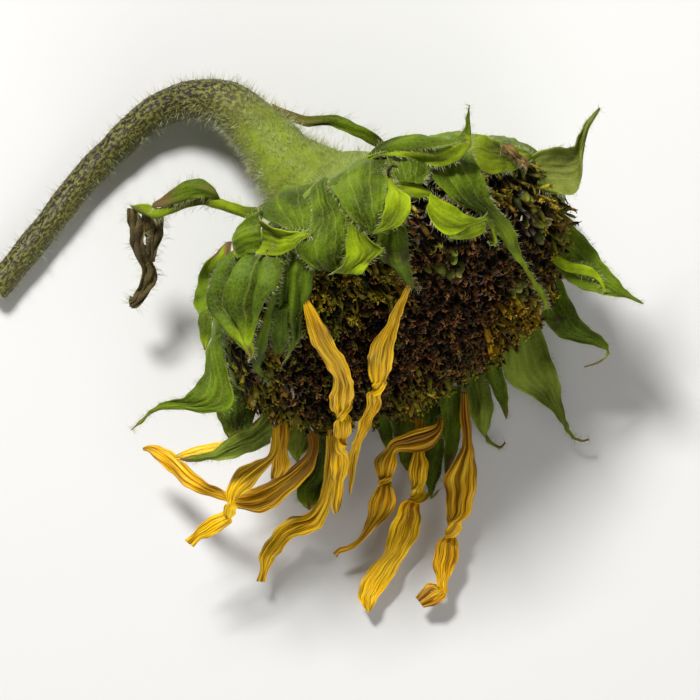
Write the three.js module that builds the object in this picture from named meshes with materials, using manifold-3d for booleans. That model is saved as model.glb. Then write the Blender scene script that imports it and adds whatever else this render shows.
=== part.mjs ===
// A wilting sunflower seed head, cut with a piece of stem and laid on its side.
// Millimetres, +Z up, floor at z = 0.
import * as THREE from 'three';
import Module from 'manifold-3d';

const wasm = await Module();
wasm.setup();

const V = (x, y, z) => new THREE.Vector3(x, y, z);

// ---- driving dimensions -------------------------------------------------
const RIM_CENTRE = V(14, 19.5, 56);            // middle of the rim of the head
const AXIS = V(0.442, -0.745, 0.5).normalize(); // the way the seed disc faces
const ACROSS = V(0.86, 0.51, 0).normalize();    // level line across the disc
const UPHILL = new THREE.Vector3().crossVectors(AXIS, ACROSS).normalize();
const DISC_RADIUS = 57.5;
const DISC_HEIGHT = 23;                         // how far the disc bulges out
const LEAF_THICKNESS = 1.3;
const GAP = 0.35;                               // air between touching pieces
const HEAD_SIDES = 44;
const STEM_SIDES = 14;

// back of the head: [distance behind the rim, radius]
const BACK = [[0.3, 57.2], [3, 58.4], [7, 58], [12, 53], [18, 41.5], [24, 31], [31, 23], [39, 17], [45, 11]];
const DOME_STEPS = [1, 0.94, 0.82, 0.64, 0.42, 0.2];

// stem from inside the head to the cut end: [x, y, z, radius]
const STEM = [
  [-9, 47.5, 38, 14.5], [-15, 52, 34.5, 12.6], [-20.5, 57.8, 31, 10.4], [-24.8, 64, 27, 9], [-30, 69.3, 22.8, 8],
  [-36.5, 73.7, 18.2, 7.2], [-45, 75.8, 13.8, 6.3], [-54, 74.4, 10.2, 5.6], [-63, 69.8, 7.6, 5.1],
  [-72, 62.6, 5.8, 4.8], [-82, 52.5, 4.8, 4.6], [-93, 38.5, 4.5, 4.4], [-104, 25, 4.3, 4.3], [-110, 17.8, 4.2, 4.2],
];

// ---- stations of a leaf -------------------------------------------------
// at: height above the floor; on: height above the surface of the head
const at = (x, y, z, half, roll = 0) => ({ p: V(x, y, z), half, roll });
const on = (x, y, lift, half, roll = 0) => at(x, y, headTop(x, y) + lift, half, roll);

// ---- colours ------------------------------------------------------------
const STEM_GREEN = { color: 0x8a9a3a, roughness: 0.75 };
const BRACT_GREEN = { color: 0x5f8a1f, roughness: 0.65 };
const BRACT_PALE = { color: 0x93a83a, roughness: 0.7 };
const LEAF_DRY = { color: 0x7a6a3a, roughness: 0.8 };
const PETAL_GOLD = { color: 0xd9a414, roughness: 0.6 };
const DISC_BROWN = { color: 0x2a1a10, roughness: 0.9 };

/** Radius of the head at a signed distance along its axis (negative: behind the rim). */
function headRadius(d) {
  if (d >= 0) return d < DISC_HEIGHT ? DISC_RADIUS * Math.sqrt(1 - (d / DISC_HEIGHT) ** 2) : 0;
  const back = -d;
  for (let i = 1; i < BACK.length; i++) {
    const [d0, r0] = BACK[i - 1], [d1, r1] = BACK[i];
    if (back <= d1) return r0 + (r1 - r0) * Math.max(0, (back - d0) / (d1 - d0));
  }
  return 0;
}

/** Height of the upper surface of the head over a point of the floor. */
function headTop(x, y) {
  for (let z = 125; z > 0; z -= 0.25) {
    const q = V(x, y, z).sub(RIM_CENTRE);
    const d = q.dot(AXIS);
    if (q.addScaledVector(AXIS, -d).length() < headRadius(d)) return z;
  }
  return 0;
}

// ---- leaves: bracts round the rim, ray florets, two leaves on the stem ---
const BRACTS = {
  bract_01: [at(-9, 55, 86, 3.5), on(-8, 47.5, 2.5, 6), on(-6.5, 41, 4, 8.5), on(-4, 34, 5.5, 10.5),
    on(-1, 28, 6.5, 8), on(3.5, 25.5, 6.5, 3.6), on(8.5, 28, 6, 0.7)],
  bract_02: [at(-20, 51, 78, 6), at(-20.5, 44.5, 92, 9), on(-20.5, 38, 3, 10.5), on(-21.5, 32, 5, 9.5),
    on(-24, 28, 6, 5), on(-27, 26.5, 6, 0.8)],
  bract_03: [at(2, 59, 84, 7), on(3.5, 50, 4, 8.5), on(5.5, 44.5, 5.5, 9), on(8.5, 39.5, 7, 7.5),
    on(12, 37, 7.5, 4), on(16.5, 38, 7.5, 0.8)],
  bract_04: [at(14, 63, 80, 5), on(16.5, 54, 4, 5.5), on(19, 50, 5, 4.5), on(21.5, 47, 6, 0.8)],
  bract_05: [on(11, 42, 2.5, 4.5), on(12.5, 36, 2.8, 6), on(13.6, 29.5, 2.6, 5), on(15.5, 23.5, 2.6, 3),
    on(18, 19.5, 2.4, 1), on(20.5, 17.5, 2.4, 0.4)],
  bract_06: [on(25, 49, 3, 3.5), on(26.3, 43.5, 5, 4.8), on(29.5, 38.5, 6.5, 5), on(34.5, 36, 6, 3.2),
    on(39, 37, 5, 1.5), on(42, 35, 4, 0.9), on(42.6, 32, 3.5, 0.5)],
  bract_07: [at(27, 64, 76, 6), on(30.5, 53.5, 3, 7.5), on(35, 46.5, 3.5, 7), on(39.5, 40.5, 4, 4.5),
    on(44.5, 34, 4, 2.6), on(50, 26.5, 4, 1.3), on(55, 19, 4.5, 0.8), on(58.5, 13.6, 5, 0.5)],
  bract_08: [at(-1, 60, 70, 2), at(4.5, 61.5, 86, 3), at(11, 61, 97, 3.2), on(19, 58.5, 8, 3.6),
    on(26.5, 58.2, 9, 3.8), at(32, 59.5, 101, 2.8), at(34.6, 63.5, 102, 1.2), at(34.7, 70.5, 103, 0.4)],
  bract_09: [at(35, 66, 66, 4), at(38.5, 59.5, 86, 4.5), on(43.5, 55, 3, 4.5), on(49, 51.5, 3, 1.6),
    on(54.5, 46.5, 3, 0.5)],
  bract_10: [at(43, 65, 58, 2), at(46.5, 62, 70, 3), at(50, 58.5, 76, 2.4), at(53.5, 55, 79, 0.5)],
  bract_11: [at(53, 54, 52, 3, 180), at(57, 53.5, 64, 5.6, 180), at(62, 53.5, 70, 6.8, 180),
    at(66.4, 55.5, 72, 5.4, 180), at(68.6, 61, 73, 2, 180), at(71, 67.5, 73.5, 0.8, 180), at(74.5, 72, 74, 0.4, 180)],
  bract_12: [at(60, 39, 45, 6.5, 180), at(65, 32, 50, 7.4, 180), at(70.5, 26, 51, 6.4, 180),
    at(76.5, 20.8, 51, 3.6, 180), at(83, 16.8, 50, 1.2, 180), at(88, 14, 50, 0.4, 180)],
  bract_13: [at(62, 19, 32, 5, 180), at(66.5, 11, 31, 5, 180), at(71.5, 5.5, 30, 3.4, 180),
    at(76, 2.3, 29, 1.4, 180), at(78.4, -0.5, 28, 0.5, 180), at(74.5, -4.6, 28, 0.4, 180)],
  bract_14: [at(54, 8, 14, 7, 180), at(56, -1, 12, 8, 180), at(58.5, -9, 10, 6.5, 180), at(62.5, -17, 8, 3.4, 180),
    at(66.5, -24, 6.5, 0.8, 180), at(70, -27.7, 6, 0.4, 180)],
  bract_15: [at(46, -2, 10, 3.5, 180), at(46.2, -8.5, 9, 3.4, 180), at(47, -14.5, 8.5, 2.2, 180),
    at(48.1, -21, 8, 0.4, 180)],
  bract_16: [at(40, -7, 4, 4, 180), at(39.6, -13.5, 3, 4.4, 180), at(40.5, -20, 2.6, 3.4, 180),
    at(42.2, -26.5, 2.5, 0.8, 180), at(46, -29.8, 2.6, 0.4, 180)],
  bract_17: [at(32.5, -11, 6, 3.6, 180), at(31.2, -18, 6, 3.8, 180), at(31.2, -25, 6, 3.2, 180),
    at(30.8, -31.5, 5.6, 2.2, 180), at(29.4, -38, 5, 0.5, 180)],
  bract_18: [at(25, -14, 2.2, 4, 180), at(26, -22, 1.6, 4.3, 180), at(26, -31, 1.4, 3.6, 180),
    at(25.4, -38.5, 1.6, 2.2, 180), at(24.8, -44.5, 2, 0.5, 180)],
  bract_19: [at(16.5, -16, 4.6, 3.6, 180), at(16.7, -24, 3.6, 4.2, 180), at(17, -31, 3, 2.8, 180),
    at(17.5, -36.5, 3, 0.5, 180)],
  bract_20: [at(8, -17, 8, 3, 180), at(10, -23, 6.6, 3.2, 180), at(10.8, -27.5, 6, 1.8, 180),
    at(11.4, -31, 5.6, 0.4, 180)],
  bract_21: [at(-7, -22, 14, 3.6, 180), at(-9, -29, 11.5, 4.6, 180), at(-10.8, -36, 9.5, 4.6, 180),
    at(-12.2, -43, 8, 2.8, 180), at(-12.8, -48.7, 7, 0.6, 180)],
  bract_22: [at(-15.5, -18, 24, 3.2, 180), at(-15.5, -23, 22.5, 3.6, 180), at(-15.6, -28, 21, 2.6, 180),
    at(-16, -33.5, 19.6, 0.4, 180)],
  bract_23: [at(-26, -17, 40, 3, 180), at(-28.5, -23, 43, 4, 180), at(-34.5, -28.5, 44, 3.2, 180),
    at(-41, -31.2, 43, 1.8, 180), at(-51.5, -33, 41, 0.5, 180)],
  bract_24: [at(-36, -10, 44, 4, 180), at(-35.5, -16, 42, 4.6, 180), at(-35.6, -21.5, 39, 3, 180),
    at(-36.4, -26.3, 36, 0.6, 180)],
  bract_25: [at(-42, 12, 70, 1.6, 180), at(-41, 4, 74, 2.6, 180), at(-39.8, -4, 76, 3.6, 180),
    at(-40.6, -12, 76, 4.4, 180), at(-45.6, -16, 75, 2.8, 180), at(-51.5, -16.3, 73.5, 1.2, 180),
    at(-58, -18, 72, 0.8, 180), at(-65, -23, 70, 0.4, 180)],
  bract_26: [at(-41, 17, 58, 2.6, 180), at(-42, 11, 60, 3.2, 180), at(-42.4, 5, 62, 2.4, 180),
    at(-43.2, 0, 63, 0.5, 180)],
  bract_27: [at(-33, 34, 72, 6), at(-35, 26.5, 86, 8.4), at(-35.6, 18.5, 92, 8.6), at(-33.6, 10, 94, 6.4),
    at(-30.8, 3.5, 95, 3.2), at(-28.4, -1.8, 95, 0.6)],
  bract_28: [on(-23, 28, 2.4, 3.6), on(-22.6, 21, 4.4, 3), on(-24, 13, 5.4, 2.6), on(-26, 5, 5.8, 2),
    on(-28, -1.5, 5.8, 1.4), on(-26.8, -6.6, 5, 0.8), on(-24.2, -8.4, 4.5, 0.4)],
  bract_29: [on(-15, 28, 2.4, 5.6), on(-15.6, 21, 3, 5.4), on(-16.6, 14, 3, 4.6), on(-17, 7.5, 3, 3),
    on(-17.2, 2, 3, 1), on(-19.8, -4, 3, 0.4)],
  bract_30: [at(61.5, 38, 28, 5.5), at(60.5, 41, 16, 7), at(58, 45, 5.5, 6), at(54, 50.5, 0.9, 0.8)],
  bract_31: [at(52, 19, 9, 5.5, 180), at(50, 21, 2.4, 7, 180), at(43, 26, 0.66, 6, 180), at(33, 32, 0.66, 0.8, 180)],
  bract_32: [at(33, 4, 1.3, 4.5, 180), at(29, 9, 0.66, 6.6, 180), at(23, 17, 0.66, 5.4, 180), at(18, 25, 0.66, 0.8, 180)],
  bract_33: [at(14, -4.5, 1.6, 5, 180), at(11, 3, 0.66, 6.6, 180), at(7, 11.5, 0.66, 5.4, 180), at(3, 20, 0.66, 0.8, 180)],
  bract_34: [at(-4, -12, 9, 5, 180), at(-8, -8, 2, 7, 180), at(-12, 1, 0.66, 6, 180), at(-13, 12, 0.66, 0.8, 180)],
  bract_35: [at(-22, -10, 24, 5, 180), at(-27, -5, 13, 6.5, 180), at(-29, 4, 6, 5.4, 180), at(-28, 14, 3.4, 0.8, 180)],
  bract_36: [at(-37, 8, 42, 5, 180), at(-41, 15, 31, 6, 180), at(-41, 24, 23, 4.6, 180), at(-37, 33, 18, 0.8, 180)],
};

const STEM_LEAVES = {
  stem_leaf_1: [at(-19, 41, 52, 1.6), at(-27, 41.8, 56, 1.6), at(-34, 42.6, 56, 1.8), at(-41, 45, 53, 3), at(-48, 46.5, 49, 4.4),
    at(-55, 43.4, 45, 3.8), at(-61, 41.2, 40, 3.4), at(-63, 36, 33, 4.2), at(-62.8, 29, 27, 3.6),
    at(-62.4, 22, 23, 2.8), at(-64.5, 15.5, 20, 1.8), at(-66.8, 12.8, 19, 0.6)],
  stem_leaf_2: [at(-22.5, 72.6, 24, 1.4), at(-15, 71.6, 27, 1.5), at(-8, 70.3, 27.5, 1.7), at(0, 69, 27, 1.8),
    at(7, 66, 25, 1.6), at(12.5, 61.6, 22, 0.6)],
};

const RAY_FLORETS = {
  ray_floret_01: [on(-18.5, 24, 6.5, 1), on(-13, 13.5, 5, 1.6), on(-9.6, 6, 4, 3), on(-6, -1, 3.6, 3.4),
    on(-3, -6.5, 3.4, 3.3), on(-2.1, -13, 3.4, 3.3), on(-2.4, -18.5, 3.4, 2.2), on(-2.2, -23, 3.6, 2.4),
    on(-2, -28.3, 4, 1), at(-3.2, -34, 33, 2.6), at(-3.8, -41, 30, 1.8), at(-4.2, -48.6, 28, 1.4)],
  ray_floret_02: [on(15.2, 34, 6, 1), on(17.4, 26, 5, 1.2), on(17.2, 18.5, 4.4, 1.2), on(14.4, 11.5, 3.6, 2.5),
    on(11.6, 4.5, 3.4, 3.2), on(9.4, -2, 3.4, 3.6), on(8.6, -9, 3.4, 2), on(6.8, -15.5, 3.4, 2.2),
    on(4.6, -22, 3.6, 1.8), at(1.8, -30, 34, 1.8), at(0.2, -43, 30, 0.6)],
  ray_floret_03: [at(-4.6, -25, 20, 1.6), at(-4.8, -33, 19, 2.2), at(-6, -41, 17, 2.8), at(-8.4, -48.5, 15, 3.4),
    at(-14.5, -53.3, 13, 2.8), at(-20, -57, 11, 2.2), at(-24.2, -62, 9, 3.2), at(-27.2, -70.3, 7, 0.8)],
  ray_floret_04: [at(-13.5, -26, 30, 1.6), at(-14, -32, 29, 3), at(-19, -39, 27, 4.2), at(-26.5, -44.6, 25, 4.2),
    at(-34, -46.4, 23, 2.4), at(-41, -43.8, 21, 2), at(-48, -39.6, 19, 2.4), at(-55.5, -33.6, 17, 2.6),
    at(-63.2, -30.3, 16, 0.6)],
  ray_floret_05: [at(-24, -25, 37, 1.6), at(-27.5, -33.6, 36, 1.8), at(-33, -38.6, 35, 2.8), at(-36.2, -44, 34, 2),
    at(-36.6, -48.8, 33, 1.2), at(-40.3, -53, 31, 2.6), at(-44.6, -55.8, 29, 1.8), at(-49.6, -58.6, 27, 0.8)],
  ray_floret_06: [at(-20.4, -22, 35, 1.6), at(-20.6, -28, 34.6, 2.2), at(-21, -34, 34, 2), at(-22, -38.5, 33, 0.8)],
  ray_floret_07: [at(-36, -27.5, 48, 1.4), at(-42, -29.6, 47.4, 1.6), at(-48, -30.4, 46.6, 1.4), at(-53.6, -32, 46, 0.5)],
  ray_floret_08: [at(27.5, -21.5, 10, 1.4), at(23.5, -26.8, 11, 2.8), at(17.5, -28.6, 12, 2.4), at(12.6, -31.5, 12, 2.2),
    at(10.8, -37, 12, 1.8), at(10.6, -42, 12, 1.8), at(9.8, -47.5, 11.4, 3.8), at(6.6, -54, 10.4, 2.4),
    at(2, -59.6, 9.6, 1.2), at(-4.6, -62.4, 9, 0.6)],
  ray_floret_09: [at(21.5, -20, 7.4, 1.6), at(21.6, -28, 7.4, 2), at(21.4, -36, 7.4, 2.6), at(20.4, -43, 7.2, 1.8),
    at(18.8, -50, 7, 3.4), at(15.5, -58, 6.8, 4.4), at(11, -66, 6.4, 4.6), at(7.4, -73, 6, 3.8), at(5.2, -79.8, 5.6, 0.8)],
  ray_floret_10: [at(35.6, -15, 10, 1.6), at(35.6, -22, 10, 1.8), at(36, -30, 10, 3), at(34.6, -38, 10, 4.4),
    at(34, -46, 9.6, 3.8), at(32, -55, 9, 1.8), at(29.6, -61, 8.6, 3.4), at(29.4, -68, 8, 3), at(28.6, -74, 7.6, 1.4),
    at(23, -77.4, 7, 1.2)],
};

// ---- solids -------------------------------------------------------------
function solidFrom(points, faces) {
  const mesh = new wasm.Mesh({
    numProp: 3,
    vertProperties: new Float32Array(points.flatMap((p) => [p.x, p.y, p.z])),
    triVerts: new Uint32Array(faces.flat()),
  });
  const solid = new wasm.Manifold(mesh);
  return solid.volume() < 0 ? new wasm.Manifold(new wasm.Mesh({
    numProp: 3, vertProperties: mesh.vertProperties, triVerts: new Uint32Array(faces.flatMap(([a, b, c]) => [a, c, b])),
  })) : solid;
}

/** Closed skin through rings of equal length, with a flat fan at each end. */
function skin(rings) {
  const k = rings[0].length;
  const faces = [];
  for (let i = 0; i + 1 < rings.length; i++) {
    for (let j = 0; j < k; j++) {
      const a = i * k + j, b = i * k + ((j + 1) % k);
      faces.push([a, b, b + k], [a, b + k, a + k]);
    }
  }
  const last = (rings.length - 1) * k;
  for (let j = 1; j + 1 < k; j++) faces.push([0, j + 1, j], [last, last + j, last + j + 1]);
  return solidFrom(rings.flat(), faces);
}

function ring(centre, a, b, radius, sides) {
  return Array.from({ length: sides }, (_, i) => {
    const t = (2 * Math.PI * i) / sides;
    return centre.clone().addScaledVector(a, radius * Math.cos(t)).addScaledVector(b, radius * Math.sin(t));
  });
}

/** Round solid about the axis of the head from [distance along axis, radius] pairs. */
function turned(profile) {
  return skin(profile.map(([d, r]) => ring(RIM_CENTRE.clone().addScaledVector(AXIS, d), ACROSS, UPHILL, r, HEAD_SIDES)));
}

function seedDisc(extra) {
  const steps = DOME_STEPS.map((s) => [extra + DISC_HEIGHT * Math.sqrt(1 - s * s), (DISC_RADIUS + extra) * s]);
  return turned([[-extra, DISC_RADIUS + extra], ...steps]);
}

function stemAndReceptacle(extra) {
  const back = turned([[extra - BACK[0][0], BACK[0][1] + extra], ...BACK.slice(1).map(([d, r]) => [-d, r + extra])]);
  const path = STEM.map(([x, y, z]) => V(x, y, z));
  const rings = path.map((p, i) => {
    const along = path[Math.min(i + 1, path.length - 1)].clone().sub(path[Math.max(i - 1, 0)]).normalize();
    const side = new THREE.Vector3().crossVectors(along, V(0, 0, 1)).normalize();
    return ring(p, side, new THREE.Vector3().crossVectors(side, along), STEM[i][3] + extra, STEM_SIDES);
  });
  return back.add(skin(rings));
}

/** Smooth value through equally spaced samples. */
function spline(samples, u) {
  const i = Math.min(Math.floor(u), samples.length - 2);
  const f = u - i;
  const get = (j) => samples[Math.max(0, Math.min(samples.length - 1, j))];
  const [a, b, c, d] = [get(i - 1), get(i), get(i + 1), get(i + 2)];
  return b + 0.5 * f * (c - a + f * (2 * a - 5 * b + 4 * c - d + f * (3 * (b - c) + d - a)));
}

/** A leaf as a thin lens-shaped solid along its stations. */
function leaf(stations, extra) {
  const count = 2 * stations.length - 1;
  const value = (f, u) => spline(stations.map(f), u);
  const centres = Array.from({ length: count }, (_, i) => V(
    value((s) => s.p.x, i / 2), value((s) => s.p.y, i / 2), value((s) => s.p.z, i / 2)));
  const rings = centres.map((p, i) => {
    const along = centres[Math.min(i + 1, count - 1)].clone().sub(centres[Math.max(i - 1, 0)]).normalize();
    const level = V(-along.y, along.x, 0).normalize();
    const face = new THREE.Vector3().crossVectors(along, level).normalize();
    const half = Math.max(0.35, value((s) => s.half, i / 2)) + extra;
    const thick = Math.min(LEAF_THICKNESS / 2, 0.3 + half * 0.4) + extra;
    return [p.clone().addScaledVector(level, half), p.clone().addScaledVector(face, thick),
      p.clone().addScaledVector(level, -half), p.clone().addScaledVector(face, -thick)];
  });
  return skin(rings);
}

/** The largest body of a solid. */
function largest(solid) {
  return solid.decompose().sort((a, b) => b.volume() - a.volume())[0];
}

function threeMesh(name, solid, look) {
  const { numProp, vertProperties, triVerts } = solid.getMesh();
  const flat = new Float32Array(triVerts.length * 3);
  triVerts.forEach((v, i) => flat.set(vertProperties.subarray(v * numProp, v * numProp + 3), i * 3));
  const geometry = new THREE.BufferGeometry();
  geometry.setAttribute('position', new THREE.BufferAttribute(flat, 3));
  geometry.computeVertexNormals();
  const mesh = new THREE.Mesh(geometry, new THREE.MeshStandardMaterial({ ...look, metalness: 0 }));
  mesh.name = name;
  return mesh;
}

/** Places pieces one after another; each gives way to those already there. */
function assemble(pieces) {
  const group = new THREE.Group();
  const taken = [];
  for (const [name, build, look] of pieces) {
    let solid = build(0);
    for (const other of taken) solid = solid.subtract(other);
    solid = largest(solid);
    group.add(threeMesh(name, solid, look));
    taken.push(build(GAP));
  }
  return group;
}

const leaves = (table, look) => Object.entries(table).map(([name, s]) => [name, (e) => leaf(s, e), look]);

const head = assemble([
  ['stem_and_receptacle', stemAndReceptacle, STEM_GREEN],
  ['seed_disc', seedDisc, DISC_BROWN],
  ...leaves(STEM_LEAVES, LEAF_DRY),
  ...leaves(BRACTS, BRACT_GREEN),
  ...leaves(RAY_FLORETS, PETAL_GOLD),
]);
head.name = 'sunflower_seed_head';

// stand the whole thing on the floor, its box centred over the origin
const box = new THREE.Box3().setFromObject(head);
const middle = box.getCenter(V(0, 0, 0));
const toOrigin = V(-middle.x, -middle.y, -box.min.z);
head.children.forEach((mesh) => mesh.geometry.translate(toOrigin.x, toOrigin.y, toOrigin.z));

export default head;
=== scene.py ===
"""A wilting sunflower seed head cut with a bent piece of stem and laid on its side.

Every length in the tables is in millimetres, with the floor at z = 0.
"""
import math

import bpy
import numpy as np
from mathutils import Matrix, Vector


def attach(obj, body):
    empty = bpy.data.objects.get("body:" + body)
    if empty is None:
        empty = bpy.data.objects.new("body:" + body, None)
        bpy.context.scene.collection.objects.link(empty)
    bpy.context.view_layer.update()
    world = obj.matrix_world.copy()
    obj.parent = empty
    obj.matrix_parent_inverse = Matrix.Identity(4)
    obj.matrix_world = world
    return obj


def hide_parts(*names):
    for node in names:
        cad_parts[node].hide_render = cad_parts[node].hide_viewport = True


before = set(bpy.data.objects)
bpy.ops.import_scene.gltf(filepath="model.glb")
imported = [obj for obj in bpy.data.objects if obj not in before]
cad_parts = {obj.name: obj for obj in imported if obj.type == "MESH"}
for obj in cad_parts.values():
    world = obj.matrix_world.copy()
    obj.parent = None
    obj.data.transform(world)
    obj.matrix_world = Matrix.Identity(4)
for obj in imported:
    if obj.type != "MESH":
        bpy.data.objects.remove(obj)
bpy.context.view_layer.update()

MM_PER_M = 1000
TURN = 6.28  # top of the range from which a random phase is drawn
THIRD_OF_TURN = 2.0944

bl_info = {
    "name": "Sunflower seed head",
    "version": (1, 0, 0),
    "blender": (4, 5, 0),
    "location": "3D View > Sidebar > Sunflower",
    "description": "Builds a wilting sunflower seed head lying on a floor",
    "category": "Add Mesh",
}

# ---------------------------------------------------------------- the head
RIM_CENTRE = np.array([14.0, 19.5, 56.0])
AXIS = np.array([0.442, -0.745, 0.5]) / np.linalg.norm([0.442, -0.745, 0.5])
ACROSS = np.array([0.86, 0.51, 0.0]) / np.linalg.norm([0.86, 0.51, 0.0])
UPHILL = np.cross(AXIS, ACROSS)
ORIGIN = np.array([12.517, -1.034, 0.1])  # puts the part's box over the origin
DISC_RADIUS = 57.5
DISC_HEIGHT = 23.0
HEAD_TOP_MOST = 126  # no point of the head is this high
# back of the head: distance behind the rim, radius
BACK = [(0.3, 57.2), (3, 58.4), (7, 58), (12, 53), (18, 41.5), (24, 31), (31, 23), (39, 17), (45, 11)]
# stem: x, y, z, radius, from inside the head to the cut end
STEM = [
    (-9, 47.5, 38, 14.5), (-15, 52, 34.5, 12.6), (-20.5, 57.8, 31, 10.4), (-24.8, 64, 27, 9),
    (-30, 69.3, 22.8, 8), (-36.5, 74.8, 18.2, 7.2), (-45, 77.1, 13.8, 6.3), (-54, 75.8, 10.2, 5.6),
    (-63, 71, 7.6, 5.1), (-72, 62.6, 5.8, 4.8), (-82, 52.5, 4.8, 4.6), (-93, 38.5, 4.5, 4.4),
    (-104, 25, 4.3, 4.3), (-110, 17.8, 4.2, 4.2),
]

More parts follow.
